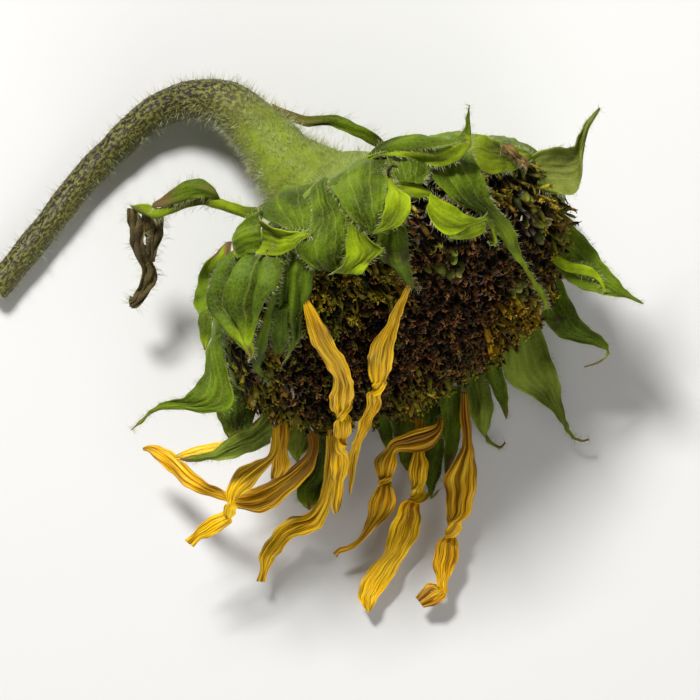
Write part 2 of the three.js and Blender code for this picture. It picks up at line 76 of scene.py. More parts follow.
# ------------------------------------------------------------- the blades
# A blade is one or more strips. A strip's rows run from its root to its tip:
# left edge x, y, right edge x, y, height, and where they aren't 0 its bulge and
# the extra height of its right edge. A strip marked "lies" rests on the head:
# a height under ABOVE_HEAD is measured from the head's surface, not the floor.
ABOVE_HEAD = 40
BRACTS = {
    "bract_01": [
        ("lies", "outer", [
            (-12, 54, -4, 54.5, 86, 1), (-11.5, 48, -5.5, 49, 2.5, 1.2), (-11, 41, -3.5, 43, 4.5, 1.6),
            (-11.5, 35.5, 0, 38.4, 6, 2.2), (-15.8, 30.5, 1, 32, 7, 2.4), (-12.8, 25.4, -0.5, 27, 7.5, 1.6),
            (-8, 23.4, 0, 23, 8, 0.4)]),
        ("lies", "inner", [
            (0.2, 39.2, 0.9, 39, 8), (-0.5, 35.5, 3.4, 35.7, 9, 0.4), (-1, 31.5, 6.2, 32, 9.8, 0.8),
            (-1.6, 28, 9.8, 29.6, 10, 1), (-3.2, 25.2, 7.2, 27.2, 9.8, 0.8),
            (-5.5, 23.6, 4.4, 24, 9.2, 0.5), (-4.5, 22.7, 1.5, 22.4, 8.4, 0.1)]),
        ("lies", "char", [
            (0, 38.6, 0.5, 38.5, 9.4), (-0.4, 40, 0.2, 40, 9.8), (-0.4, 41.8, 0, 41.8, 10)]),
    ],
    "bract_02": [
        ("lies", "outer", [
            (-22, 47, -11, 53, 80, 1), (-26, 42, -9.8, 49, 93, 1.6), (-25.7, 38.4, -9.2, 43, 101, 1.8),
            (-20, 35.6, -10.4, 37.4, 5, 1), (-15.4, 34, -12, 34.2, 5.5, 0.3)]),
        ("lies", "inner", [
            (-26.4, 38.4, -26.6, 28.4, 105, -0.8), (-22.5, 36.7, -22.3, 27.6, 108.5, -1.2),
            (-18.4, 35.1, -17.9, 28.8, 112, -1), (-14.6, 34.2, -14.6, 31.4, 114.5, -0.2),
            (-11.2, 34.2, -11.4, 33.3, 115)]),
        ("lies", "outer", [
            (-25.6, 41, -26, 28.6, 102, 1), (-29, 39, -29.4, 28.2, 101, 1.4),
            (-32.2, 36.5, -32.6, 27.4, 98, 1.2), (-34.3, 33, -34.2, 29.6, 95, 0.2)]),
    ],
    "bract_03": [
        ("lies", "outer", [
            (-8, 53, 13, 61, 84, 1), (-6, 50, 12.6, 56, 97, 2), (-4.4, 44.4, 11.2, 48, 4.5, 2.6),
            (-0.8, 39.2, 10.6, 42.4, 6.5, 2.6), (3.4, 35.6, 9.2, 37.6, 8, 1.4),
            (5.8, 33.7, 6.7, 33.4, 9, 0.1)]),
        ("lies", "inner", [
            (10.9, 52, 11.8, 51.4, 8), (10.8, 47.8, 13.6, 47.2, 8.8, 0.3), (10.6, 44, 17.6, 44, 9.6, 0.9),
            (10, 40.2, 17.6, 40, 10, 1.1), (8.7, 36.8, 14.6, 36.4, 10, 0.6),
            (6.3, 33.6, 8.8, 34.3, 9.6, 0.1)]),
        ("lies", "char", [
            (10.8, 50.8, 11.5, 50.6, 10.4), (10.9, 52.6, 11.7, 52.3, 11), (12.3, 53.9, 12.4, 53.2, 11.4),
            (13.9, 53.6, 13.8, 53.1, 11.4)]),
    ],
    "bract_04": [
        ("lies", "outer", [
            (8, 61, 27, 61, 80, 1), (9, 57.6, 26, 58, 96, 1), (10.6, 54.6, 24, 54, 3.5, 0.8),
            (13, 50.6, 22, 49.6, 4.5, 0.5), (14.6, 49.2, 21.6, 48.7, 6, 0.1)]),
        ("lies", "inner", [
            (12.6, 49.6, 15.4, 45.2, 4), (16.6, 48.8, 18.4, 44.6, 4.2, 0.4), (20.4, 48, 21.4, 44.8, 4, 0.4),
            (23.6, 46.4, 24, 45, 3.6)]),
    ],
    "bract_05": [
        ("lies", "outer", [
            (8.6, 40, 16, 41, 2, 0.6), (8, 34, 16.7, 35, 3, 1), (8.6, 28.4, 17.3, 29.4, 5, 1.4),
            (11.3, 24.8, 17.6, 25.4, 5.6, 1), (14.8, 21.3, 18, 22, 6, 0.5), (17.5, 19, 18.6, 19.5, 6.4),
            (20.8, 17.3, 20.9, 17.7, 6.6)]),
    ],
    "bract_06": [
        ("lies", "bright", [
            (23.6, 46, 22.4, 41.4, 5, 0.2), (26, 44.6, 24.4, 36.8, 5.6, 0.9),
            (29.6, 42.6, 28.6, 33.3, 6, 1), (33.6, 40, 32.4, 34.7, 6, 0.6),
            (37.4, 38.7, 36.4, 37.2, 6, 0.2), (40, 39, 39.8, 38, 6), (41.9, 37.9, 40.9, 36.8, 5.6),
            (43.4, 34, 42.4, 34, 5), (43.2, 31.4, 42.2, 31.3, 4.6), (41.2, 30.8, 41.2, 31.3, 4.4)]),
        ("lies", "bright", [
            (28.6, 33.4, 28.8, 32.9, 5.6), (31.6, 34.3, 31.6, 32.4, 5.8, 0.4, -1),
            (35, 36.5, 35.5, 32.9, 5.8, 0.6, -1.5), (38, 38, 38.7, 34.5, 5.8, 0.4, -1.5),
            (40, 38.4, 40.4, 36.4, 5.8, 0, -0.6)]),
    ],
    "bract_07": [
        ("lies", "hooked", [
            (19, 58, 34.6, 61.5, 88, 1), (22, 53.6, 36, 57.4, 100, 1.4), (25, 49.4, 38.2, 52.4, 3.5, 1.8),
            (29.5, 45.2, 40.2, 48, 4, 1.8), (34, 42.7, 42.2, 44, 4.4, 1.4), (39, 39.6, 45, 40.2, 4.8, 1),
            (43, 35.6, 48, 35.8, 5, 0.8), (46.3, 31.2, 50.6, 30.8, 5, 0.6),
            (49.8, 26.6, 52.2, 26.2, 5, 0.3), (53.6, 21.3, 55, 21.6, 69, 0.1), (57.1, 16, 58.2, 16.5, 64),
            (58.5, 13.2, 59.3, 13, 61.5), (57.2, 11.6, 57.3, 12.1, 60.5)]),
    ],
    "bract_08": [
        ("lies", "outer", [
            (0.6, 56, 1.4, 54.8, 86), (5, 59, 6.6, 57, 93, 0.4, 2), (11, 61.7, 12, 58.6, 98, 0.8, 3),
            (19, 62.8, 18.6, 59.2, 102, 0.8, 4), (26, 62.2, 26, 58.8, 104, 0.6, 4),
            (31, 62.1, 31.6, 60.2, 106, 0.2, 2), (33.4, 64.6, 35, 62.6, 107), (34.2, 69, 35.1, 68.6, 107),
            (34.7, 71.6, 35, 71.6, 107)]),
        ("lies", "inner", [
            (5, 57, 6.2, 55.8, 95, 0, -1), (10.6, 58.6, 11, 56.8, 100, 0.4, -2),
            (18, 59.4, 19, 55.8, 104, 0.8, -3), (25.6, 59, 26, 54.5, 106, 1, -3),
            (30.6, 60, 31.6, 55.4, 107, 0.8, -2), (33.4, 61.6, 35.2, 59.6, 107.4, 0.2, -1),
            (33.8, 63, 35.2, 62.6, 107.4)]),
    ],
    "bract_09": [
        # this inner face takes the painted-shade copy of the inner green
        ("lies", "ripe", [
            (33.6, 63.6, 34.4, 57, 92, 1, 4), (38.5, 62.8, 38.5, 52, 91, 1.6, 6),
            (42.5, 62.1, 43, 51.2, 89, 1.6, 5), (46.5, 60.4, 46, 52.8, 86, 1, 4),
            (50.5, 59.3, 49, 53.4, 83, 0.6, 3), (54, 58.2, 52, 55.4, 80, 0, 1)]),
    ],
    "bract_10": [
        ("lies", "dry", [
            (45.8, 61, 45.4, 59.8, 93, 0.4), (48.2, 59.6, 47.2, 57.8, 93, 0.8, 1.5),
            (50.4, 57.8, 49.2, 56.4, 91, 0.8, -1.5), (52, 56.6, 50.6, 55, 89, 0.6, 1.5),
            (53, 55, 52, 54, 87, 0.2)]),
        ("lies", "dry", [
            (44.6, 59.8, 44.2, 58.6, 93), (47.6, 58.4, 47.4, 56.8, 92, 0.6, -1.5),
            (50.4, 56.2, 49.8, 55.2, 90, 0.4, 1.5), (52.6, 53.6, 52.2, 53, 86)]),
    ],
    "bract_11": [
        ("free", "dusty", [
            (50.6, 55.4, 52, 53, 70), (54.8, 58.5, 54.3, 49.2, 72, -2.4),
            (59.4, 59.9, 58.3, 47.2, 73, -3.4), (64.4, 60.1, 63.8, 45.9, 73, -3.4),
            (67, 61.3, 67.9, 47.6, 73, -2.4), (68.7, 64.4, 69, 56, 73.6, -0.6), (70.7, 68.5, 70.9, 65, 74),
            (74.2, 72.2, 74.6, 71.7, 75)]),
    ],
    "bract_12": [
        ("free", "outer", [
            (55, 37, 59, 47, 49, 1), (58.8, 29.4, 65, 40, 50, 1.4), (62.4, 24.4, 70, 34.5, 50, 1.4),
            (66.4, 20.4, 74.6, 29.5, 50, 1.2), (71.6, 17.9, 78, 24.5, 50, 0.8),
            (77.5, 16.2, 81.6, 19.8, 50, 0.4), (83, 15.9, 84.7, 16.8, 50), (88.3, 13.7, 88.5, 14.1, 50)]),
        ("free", "bright", [
            (56.8, 31.6, 57.8, 29.6, 51.4), (62, 29.2, 61.4, 26, 52.6, 0.5), (67, 26.2, 66, 23.6, 53, 0.5),
            (72, 25, 71, 22.4, 53, 0.5), (76, 21.4, 74.7, 20.8, 52.4, 0.2),
            (77.3, 17.5, 76.6, 17.3, 51.2)]),
    ],
    "bract_13": [
        ("free", "outer", [
            (52, 21, 58, 27, 34, 0.4), (56, 15, 63.4, 23, 32, 1), (59, 9, 66.8, 15.6, 31.5, 1.2),
            (62.4, 4.8, 70, 10, 31, 1), (67.5, 2.7, 73.7, 6.3, 30, 0.8), (73.5, 1.5, 76.9, 3.3, 29.5, 0.4),
            (77.8, 0.4, 78.7, 1, 29), (78.2, -1.4, 78.9, -1.1, 29), (75.8, -3.9, 76.2, -3.3, 29),
            (71.3, -5.4, 71.5, -4.9, 29)]),
    ],
    "bract_14": [
        ("free", "pale", [
            (46, 4, 57, 12, 13, 1), (46.6, -3, 60, 2.4, 12, 1.2), (49, -10, 62.3, -4, 11, 1.4),
            (54.8, -13.4, 64, -9, 10, 1), (60, -17, 65.4, -15, 9, 0.6), (64.2, -22, 66.6, -21, 8, 0.2),
            (66.5, -24.5, 67.2, -24, 7.6), (68.3, -26.8, 68.7, -26.2, 7.4), (70.8, -28.2, 70.8, -27.6, 7.4),
            (73.6, -27.8, 73.6, -27.3, 7.4)]),
    ],
    "bract_15": [
        ("free", "outer", [
            (39, 0, 46, -1, 10, 1), (41, -6.6, 47.4, -8, 9.4, 1), (43.8, -11.5, 48.5, -12.6, 9, 0.6),
            (46, -16.7, 48.6, -16.6, 8.4, 0.2), (48, -21.3, 48.3, -21, 8)]),
    ],
    "bract_16": [
        ("free", "pale", [
            (34.6, -7, 42, -7, 4, 1), (35.8, -14, 43.8, -14.4, 3.2, 1.2), (36.6, -18.5, 44, -19, 3, 1),
            (38.2, -23, 43.2, -23.5, 2.8, 0.6), (41.3, -26.6, 42.8, -26, 2.6),
            (42.8, -28.2, 43.2, -27.6, 2.6), (46, -30.5, 46, -29.9, 2.8), (48.1, -28.8, 47.7, -28.3, 3)]),
    ],
    "bract_17": [
        ("free", "outer", [
            (27.6, -12, 34.4, -11, 6, 0.8), (27.8, -18.5, 34.6, -18, 6, 1),
            (28.6, -24.5, 34.4, -24, 6, 0.8), (29, -31, 33.3, -30.5, 5.6, 0.4),
            (29.3, -38.2, 29.9, -38, 5)]),
    ],
    "bract_18": [
        ("free", "outer", [
            (22, -15, 29.4, -14, 2.4, 0.4), (21.8, -24, 29.5, -24, 1.8, 0.5),
            (22.8, -32, 28.9, -32, 1.6, 0.4), (23.3, -39, 27.5, -39.5, 1.8, 0.2),
            (24, -43.5, 25.6, -43.6, 2.2), (25, -45.9, 25.7, -45.4, 2.6), (27.2, -43.2, 27.6, -43, 3)]),
    ],
    "bract_19": [
        ("free", "pale", [
            (12, -15, 21, -14.5, 4.6, 0.6), (13.3, -24.5, 22, -23, 4, 0.8),
            (14.2, -31, 20.2, -31, 3.4, 0.6), (15.8, -34.8, 18.9, -34.5, 3.2, 0.2),
            (18.2, -37.6, 18.6, -37.4, 3)]),
    ],
    "bract_20": [
        ("free", "outer", [
            (4.6, -16, 11.5, -16.5, 8, 0.5), (7.6, -22.5, 12.9, -23, 7, 0.6),
            (9.6, -28, 13, -27.4, 6.2, 0.3), (11.4, -31.2, 11.9, -31, 5.8)]),
    ],
    "bract_21": [
        ("free", "outer", [
            (-11, -21, -4, -21, 14, 0.6), (-10.4, -29, -5.8, -30, 12, 0.8),
            (-12, -36.5, -5.8, -36.5, 10, 1), (-16.6, -42.5, -8, -41.5, 8.6, 0.8),
            (-15.2, -46.5, -10, -46.4, 8, 0.4), (-12.8, -49.2, -12.2, -49, 7.6)]),
    ],
    "bract_22": [
        ("free", "pale", [
            (-19, -17, -13, -17, 24, 0.6), (-18.8, -23, -12.3, -23.5, 23, 0.8),
            (-19.5, -28.5, -11.3, -27.5, 22, 0.6), (-17.8, -32, -14, -31.5, 21, 0.2),
            (-16.2, -34.3, -15.8, -34.2, 20)]),
    ],
    "bract_23": [
        ("free", "pale", [
            (-24.6, -27.8, -25, -15, 42, 1, 4), (-30, -30.6, -30, -22.2, 44, 1.2, 3),
            (-36, -32.6, -36, -26.2, 44, 1, 2), (-42, -33.5, -42, -30.4, 43.4, 0.4, 1),
            (-47, -33.8, -47, -31.9, 42.6, 0.1), (-51.5, -33.2, -51.5, -32.8, 42)]),
    ],
    "bract_24": [
        ("free", "outer", [
            (-40, -11, -30, -9, 45, 1), (-40.2, -18, -29, -17.5, 42, 1.4), (-38.8, -23.5, -31, -23, 39, 1),
            (-36.8, -27, -35.5, -27, 36)]),
    ],
    "bract_25": [
        ("free", "outer", [
            (-43, 13, -39.6, 13, 70, 0.6, 4), (-42.7, 5, -38.6, 5, 72, 0.8, 4),
            (-42.6, -1, -37.4, -2, 74, 1.2, 4), (-43.5, -6.5, -35.6, -9, 75, 1.8, 3),
            (-46, -11, -35, -17, 76, 2, 2), (-50, -13.6, -42, -18.7, 75.6, 1.4),
            (-54.5, -15.3, -50.5, -17.4, 75, 0.6), (-59, -17.6, -58.3, -18.4, 74, 0.1),
            (-62.5, -21, -62, -21.7, 73), (-65.2, -23.6, -65, -23.9, 72)]),
    ],
    "bract_26": [
        ("free", "outer", [
            (-44.8, 15, -39, 16, 58, 0.6, 4), (-45.3, 9, -40.6, 9, 60, 0.6, 4),
            (-45, 4.5, -41.6, 4, 61, 0.3, 2), (-43.8, 0, -43.3, 0, 62)]),
    ],
    "bract_27": [
        ("lies", "deep", [
            (-32, 36, -20, 37, 82, 1, 8), (-36, 28.6, -20.4, 29, 90, 1.6, 16),
            (-41, 21.8, -21.6, 21.6, 90, 2.4, 20), (-44, 14.6, -24.4, 14, 89, 2.4, 20),
            (-38.6, 8.2, -26.6, 8, 92, 1.4, 12), (-33.5, 2.8, -27.6, 2.4, 94, 0.6, 5),
            (-29.3, -2.6, -28.6, -2.4, 96)]),
    ],
    "bract_28": [
        ("lies", "outer", [
            (-24.6, 29, -18, 29, 3, 0.6), (-24, 24, -19.4, 25, 4, 0.8), (-24.2, 17, -21.4, 18, 5, 0.8),
            (-25.4, 11, -22.8, 11.6, 5.5, 0.8), (-27, 4, -23.7, 4, 6, 0.8),
            (-28.8, -1, -25.5, -1.5, 6, 0.6), (-28.6, -5.5, -26.6, -5, 5.5, 0.2),
            (-26.4, -7.9, -25.8, -6.8, 5), (-24.1, -9, -24, -8, 5)]),
        ("lies", "deep", [
            (-24, 14, -18, 14, 1.4, 0.3), (-23.6, 4, -18.6, 4, 1.6, 0.4), (-22.4, -1.4, -20, -1.4, 1.6)]),
    ],
    "bract_29": [
        ("lies", "deep", [
            (-22, 31, -9.2, 31, 2, 0.5), (-22, 25.5, -9.8, 25, 3, 1), (-22, 18, -11.2, 18, 3.3, 1.4),
            (-21.6, 11, -13.4, 11.6, 3.5, 1.2), (-20, 6, -14.7, 6.5, 3.5, 0.8),
            (-18.6, 2.5, -15.7, 3, 3.5, 0.4), (-18.2, -1, -17.2, 0.2, 3.5),
            (-20.3, -4.6, -19.9, -4.4, 3.4)]),
    ],
    "bract_30": [
        ("free", "outer", [
            (56, 37, 67, 39, 28, 1), (53.6, 39.6, 67.4, 42.6, 16, 1), (52.4, 42.6, 63.8, 47.6, 5.5, 0.6),
            (53.6, 50.4, 54.6, 50.8, 0.9)]),
    ],
    "bract_31": [
        ("free", "outer", [
            (48.4, 14.6, 55.6, 23.4, 9, 0.6), (45.6, 15.8, 54.4, 26.2, 2.6, 0.6),
            (39.4, 21.2, 46.8, 30.8, 0.9, 0.3), (32.6, 31.4, 33.4, 32.6, 0.7)]),
    ],
    "bract_32": [
        ("free", "outer", [
            (29, 1.4, 36.6, 6.4, 1.5, 0.2), (23.6, 5, 34.2, 12.6, 0.9, 0.2), (18.6, 14, 27.4, 20, 0.9, 0.2),
            (17.4, 24.6, 18.6, 25.4, 0.7)]),
    ],
    "bract_33": [
        ("free", "outer", [
            (9.6, -6.4, 18.4, -2.4, 1.7, 0.2), (5, 0, 17, 6, 0.9, 0.2), (2, 9.4, 12, 13.8, 0.9, 0.2),
            (2.3, 19.7, 3.7, 20.3, 0.7)]),
    ],
    "bract_34": [
        ("free", "outer", [
            (-8.2, -14.8, 0.4, -9, 9, 0.4), (-14, -11.4, -2, -4.4, 2.2, 0.4),
            (-18, -0.4, -6, 2.6, 0.9, 0.2), (-13.8, 12, -12.2, 12, 0.7)]),
    ],
    "bract_35": [
        ("free", "outer", [
            (-26.6, -12, -17.6, -7.8, 24, 1), (-33, -8, -21, -2, 13, 1), (-34.4, 3, -23.6, 5, 6, 0.6),
            (-28.8, 14, -27.2, 14, 3.6)]),
    ],
    "bract_36": [
        ("free", "outer", [
            (-42, 6, -32, 10, 42, 1), (-47, 13.4, -35, 16.6, 31, 1), (-45.4, 24, -36.6, 24.6, 23, 0.6),
            (-37.8, 33, -36.2, 33.2, 18.2)]),
    ],
}

# how far a bract that lies over its neighbours is lifted off them
LIFTED = {"bract_08": 4.4, "bract_03": 2.6, "bract_28": 3.2}

STEM_LEAVES = {
    "stem_leaf_1": [
        ("free", "stalk", [
            (-22, 42.6, -22, 40, 54, 0.4), (-30.3, 43, -30.3, 39.4, 56, 0.8),
            (-36.6, 44.8, -37.6, 41.8, 56, 0.8), (-43, 46.2, -44, 43.6, 54, 0.8),
            (-51, 45.4, -51, 42, 51, 0.8), (-57.3, 43, -57, 40, 48, 0.8), (-62, 44.2, -60.4, 40, 44, 0.8),
            (-66.6, 43.8, -64.6, 42, 40)]),
        ("free", "lobe", [
            (-39.6, 46.2, -39.4, 45.2, 55.6), (-41.6, 49.6, -41.6, 45.4, 56.2, 1.2),
            (-45.6, 51.4, -45.8, 45.6, 56, 1.8), (-50, 50.4, -50.4, 44.8, 54, 1.4),
            (-54, 47.6, -55, 43.4, 51, 0.6), (-59.4, 44.4, -59.6, 43, 47)]),
        ("free", "husk", [
            (-67.4, 42.8, -65.4, 43, 39), (-67.6, 40, -63, 39, 37, 1.2),
            (-67, 35.4, -62.2, 35.8, 34, 1.4, 3), (-66.4, 31, -61.8, 31.6, 31, 1.4, 2),
            (-63.8, 26, -59.8, 26, 28, 1.2, -2), (-64.8, 21, -58.8, 22.6, 25, 1.4, -1),
            (-66, 16.6, -61.2, 18, 22, 1, 1), (-67.6, 14.6, -65.4, 13, 20, 0.3),
            (-67.4, 16.6, -66.6, 16.2, 20)]),
        ("free", "husk", [
            (-63.6, 41, -56, 41, 38, 0.8, 3), (-62.4, 36.4, -56.8, 36, 35, 1.2, 3),
            (-61.8, 31, -58.6, 30.6, 32, 0.8, 1), (-60.8, 27, -59.4, 27, 29)]),
    ],
    "stem_leaf_2": [
        ("free", "wilting", [
            (-23.6, 75.3, -22.4, 71.4, 24, 0.6), (-14, 71.5, -14, 68.4, 27, 0.6),
            (-5, 71.6, -8, 68.5, 27.6, 0.7), (0.4, 69.8, -1.6, 66.6, 27, 0.7),
            (6.4, 67, 4.5, 63.8, 25, 0.5), (12.2, 62, 9.6, 61, 22)]),
    ],
}

RAY_FLORETS = {
    "ray_floret_01": [
        ("lies", "gold", [
            (-13.8, 14.6, -12.2, 15, 4.5, 0.2), (-12.9, 8.6, -8.6, 9.2, 6.5, 0.6),
            (-12, 4, -5.8, 4.4, 6.5, 0.8), (-9.8, -0.5, -3.3, 0.4, 6.5, 0.8), (-7, -5, -1, -4, 7, 0.8),
            (-4.5, -9.3, 0.7, -8.4, 7.5, 0.8), (-6.3, -13.4, 1.2, -12.6, 9, 0.8),
            (-5.8, -16.6, 0.9, -16.2, 62, 0.8, 2), (-2.7, -19.4, -2.1, -19.2, 57.5, 2.4, 4.8),
            (-0.2, -22, -4.9, -22.6, 57, -0.6), (0, -25.5, -4.8, -25.6, 53, -0.6),
            (-2.6, -28.6, -2.9, -28.4, 47, 2.2, 3.8), (-5.8, -32.2, -0.7, -31.4, 45, 0.6),
            (-5.6, -37, -0.5, -35.6, 41, 0.8), (-5.3, -40.6, -1.8, -39.6, 38, 0.4),
            (-6, -46, -2.2, -45.6, 35, 0.5), (-5, -49.7, -3.5, -49.4, 33)]),
    ],
    "ray_floret_02": [
        ("lies", "gold", [
            (17.6, 20.4, 18.4, 20.6, 5), (15.4, 16.6, 17.5, 16.8, 5.5, -0.2), (13.2, 13, 16, 13.2, 6, -0.4),
            (11, 9, 14.9, 9, 6, -0.6), (8.2, 4.5, 13.7, 5, 6, -0.6), (5.8, 0, 13.4, 0.5, 6.5, 0.5),
            (5.3, -4, 12.5, -4, 7, 0.7), (6.4, -8.4, 11, -8.6, 8, 0.8, 1.5),
            (8.2, -11.2, 8.5, -11.3, 9, 2.3, 4.6), (9, -14.5, 4.9, -13.4, 62, 0.6),
            (8.9, -17.6, 4.4, -18, 57, 0.7), (6.6, -21.5, 3, -21.5, 53, 0.6),
            (5.4, -25.3, 1.9, -25.3, 49, 0.5), (3.1, -29.3, 0.7, -28.6, 45, 0.4),
            (2.1, -33, -0.4, -31.6, 41, 0.4), (1.6, -37, -0.6, -36, 38, 0.3),
            (0.2, -43.8, -0.2, -43.5, 33)]),
    ],
    "ray_floret_03": [
        ("free", "gold", [
            (-7, -24, -3, -24, 21, 0.3), (-7.5, -34, -3.2, -34, 19, 0.5), (-8.7, -41.5, -5, -41.5, 17, 0.6),
            (-10.2, -47, -6, -48.3, 15, 0.8), (-13.6, -50.4, -8.4, -53.8, 13.6, 0.9),
            (-18, -51.6, -13, -56.3, 12.5, 0.9), (-22.5, -54.5, -18.6, -58.2, 11, 0.7),
            (-26, -59, -21, -62, 10, 0.9), (-27.9, -63.5, -23.3, -64.9, 9, 0.7),
            (-27.6, -67.5, -25.4, -68.2, 8, 0.3), (-28.8, -71.2, -26, -71.4, 7.5)]),
    ],
    "ray_floret_04": [
        ("free", "rusty", [
            (-13.6, -24, -9.4, -25.4, 30, 0.4), (-12.7, -30, -9.7, -31, 30, 0.5),
            (-16.8, -34.8, -11.1, -36.2, 29, 0.8), (-21.6, -38.6, -15.5, -41.4, 28, 1),
            (-27, -41.1, -21, -46.2, 27, 1.2), (-32, -42.5, -27, -49.3, 26, 1),
            (-36, -43.5, -33.5, -48.8, 25, 0.6), (-39.5, -42.5, -38, -46.1, 24, 0.6),
            (-44, -40.6, -44, -44.6, 23, 0.8), (-48.4, -36.4, -49.6, -42, 22, 1),
            (-52.5, -32.4, -54, -38.1, 21, 1), (-57, -29.8, -58.5, -34.6, 20, 0.7),
            (-60.5, -29.1, -61.6, -31.4, 19, 0.3), (-63.5, -29.9, -63.3, -30.7, 18.5)]),
    ],
    "ray_floret_05": [
        ("free", "gold", [
            (-23.6, -23, -22, -23, 38, 0.2), (-24.6, -31.4, -21.5, -31, 37, 0.4),
            (-29, -33.8, -26.6, -37.6, 37, 0.8), (-33.6, -35.8, -30, -41.6, 36, 1),
            (-37, -41.4, -32.8, -43.8, 36, 0.6), (-37.7, -45.5, -34.2, -46, 35, 0.4),
            (-36.6, -48.2, -36.2, -48.4, 33, 2, 3.4), (-38, -49.1, -36, -52.6, 33, 0.5),
            (-41.5, -50.3, -39.5, -55, 32, 0.8), (-44.9, -52.5, -42.6, -56.7, 31, 0.7),
            (-47.4, -55.5, -45.4, -57.8, 30, 0.3), (-50.4, -57.9, -47.6, -60, 29)]),
    ],
    "ray_floret_06": [
        ("free", "rusty", [
            (-22, -19, -18.4, -20, 35, 0.3), (-22.6, -25, -18.6, -26.5, 35, 0.6),
            (-22.9, -30.5, -19.2, -30.6, 35, 0.6), (-23.9, -36, -18.2, -34.4, 34, 0.6),
            (-24, -39.4, -20, -38, 33)]),
    ],
    "ray_floret_07": [
        ("free", "gold", [
            (-27, -20, -27, -22.6, 38, 0.2), (-33, -25, -33, -28, 38, 0.4),
            (-38, -27.6, -38, -30.4, 38, 0.4), (-44.5, -28.8, -44.2, -31.9, 38, 0.5),
            (-48.5, -29.8, -48.2, -33, 38, 0.3), (-53.6, -32.3, -53.2, -32.9, 38)]),
    ],
    "ray_floret_08": [
        ("free", "rusty", [
            (27.2, -20.5, 28.8, -21.5, 10, 0.2), (26.3, -22.9, 28, -26, 10.6, 0.6),
            (22.4, -23.8, 25, -30.2, 11.4, 1), (17.4, -25, 19.4, -31.4, 12, 1),
            (13, -27.2, 15, -31.4, 12.4, 0.7), (10.4, -30.8, 14.5, -32.6, 12.4, 0.6),
            (7.5, -34.5, 14, -35.6, 12.4, 0.8), (8.4, -38.3, 12.7, -38.7, 12, 0.3, 1),
            (10.4, -40.4, 10.7, -40.4, 10, 2.3, 4.2), (12.9, -42, 8.3, -42.2, 12, 0.5),
            (14.3, -46, 5.9, -46.5, 12, 1), (13.4, -49.7, 5.2, -50.4, 11.5, 1),
            (9, -53.6, 4.1, -54.6, 11, 0.6), (5.4, -57.2, 2.2, -58.4, 10.5, 0.4),
            (1.5, -60.8, -0.6, -60.2, 10, 0.2), (-3, -62.4, -3.4, -60.9, 9.5),
            (-4, -63.9, -5.2, -62.4, 9)]),
    ],
    "ray_floret_09": [
        ("free", "gold", [
            (20, -21, 23, -21, 7.4, 0.3), (19.6, -31, 22.7, -31, 7.6, 0.5),
            (18.2, -36, 24.1, -35.5, 7.6, 0.9), (18.6, -41, 23.4, -41, 7.4, 0.6),
            (20.5, -45, 20.8, -45.1, 5.6, 2.4, 4.4), (21.8, -48.6, 16, -47, 7.4, 0.6),
            (22.1, -52.5, 13.8, -51.6, 7.2, 0.9), (20.5, -57.5, 11.8, -57, 7, 1),
            (17.5, -62.5, 10.2, -62.3, 6.8, 0.9), (14.7, -67.4, 5.9, -67.3, 6.5, 1),
            (12.1, -71.8, 3.4, -72, 6.3, 0.9), (9.1, -76, 2.5, -76, 6, 0.6),
            (7.2, -79, 3.9, -78.6, 5.8, 0.2), (5.8, -80.8, 5.1, -80.6, 5.6)]),
    ],
    "ray_floret_10": [
        ("free", "rusty", [
            (34, -13, 36, -13, 10, 0.2), (33.8, -21.5, 37.1, -21.5, 10, 0.4),
            (34.8, -27.5, 37.3, -28, 10, 0.3), (32.6, -33.5, 38.6, -33, 10, 0.8),
            (29.1, -39, 39.2, -38.5, 10, 1.1), (29.2, -45, 38.5, -44, 9.8, 1),
            (29.4, -50.5, 36.9, -50.3, 9.4, 0.8), (31.4, -55.5, 31.8, -55.6, 7, 2.5, 4.6),
            (33.4, -59.5, 27, -59, 8.8, 0.6), (32.7, -65.5, 25.3, -64.5, 8.4, 0.8),
            (30.8, -70, 26.4, -69.6, 8, 0.5), (29.9, -74.2, 26.9, -72.8, 7.8, 0.6, 1),
            (29.2, -76.2, 26, -72, 7.6, 0.2), (26.8, -78.4, 23.2, -72.4, 7.4, 0.5),
            (22.7, -79.4, 20.2, -76, 7.2, 0.1)]),
    ],
}

# ------------------------------------------------------------ the florets
FLORET_TINTS = {
    "brown": ("#a87434", "#7d5220", "#d09a58", "#4c3010", "#8a5428", "#b87a3a", "#5a420c"),
    "olive": ("#7c7018", "#97841f", "#5d5614", "#8a6a20", "#6b4a1c", "#a39a3a"),
    "long": ("#a09424", "#b8a022", "#7c7a1c", "#8c6c20", "#c2a634", "#8f8f2c"),
    "yellow": ("#d8b41c", "#c79a14", "#e0c040", "#b08a1c"),
    "ovary": ("#8c9434", "#7a8a30", "#a0a050", "#6c7424"),
    "chaff": ("#b8a086", "#9a8070", "#c9b8a0", "#7c6450"),
}
# patches of one kind on the disc: kind, x, y, reach, share
FLORET_PATCHES = [
    ("long", -8, 20, 12, 0.7), ("long", -14, 13, 6, 0.6), ("long", 8, 24, 8, 0.4),
    ("long", -34, -6, 8, 0.35), ("ovary", 29, 28, 3.4, 0.5), ("ovary", 49, 46, 3.5, 0.9),
    ("ovary", 54, 38, 3.5, 0.8), ("ovary", 49, 20, 3, 0.9), ("ovary", 55, 19, 3, 0.9),
    ("ovary", 24, 26, 3, 0.35), ("yellow", 47, 14, 5, 0.7), ("yellow", 56, 14, 5, 0.7),
    ("yellow", 43, 8, 4, 0.5), ("yellow", 51, 3, 5, 0.4), ("long", 20, -12, 9, 0.3),
    ("chaff", 51, 40, 5, 0.6), ("chaff", 21, 39, 6, 0.6), ("chaff", -21, -11, 5, 0.5),
    ("chaff", 38, 22, 5, 0.4), ("chaff", 46, 44, 6, 0.3),
]

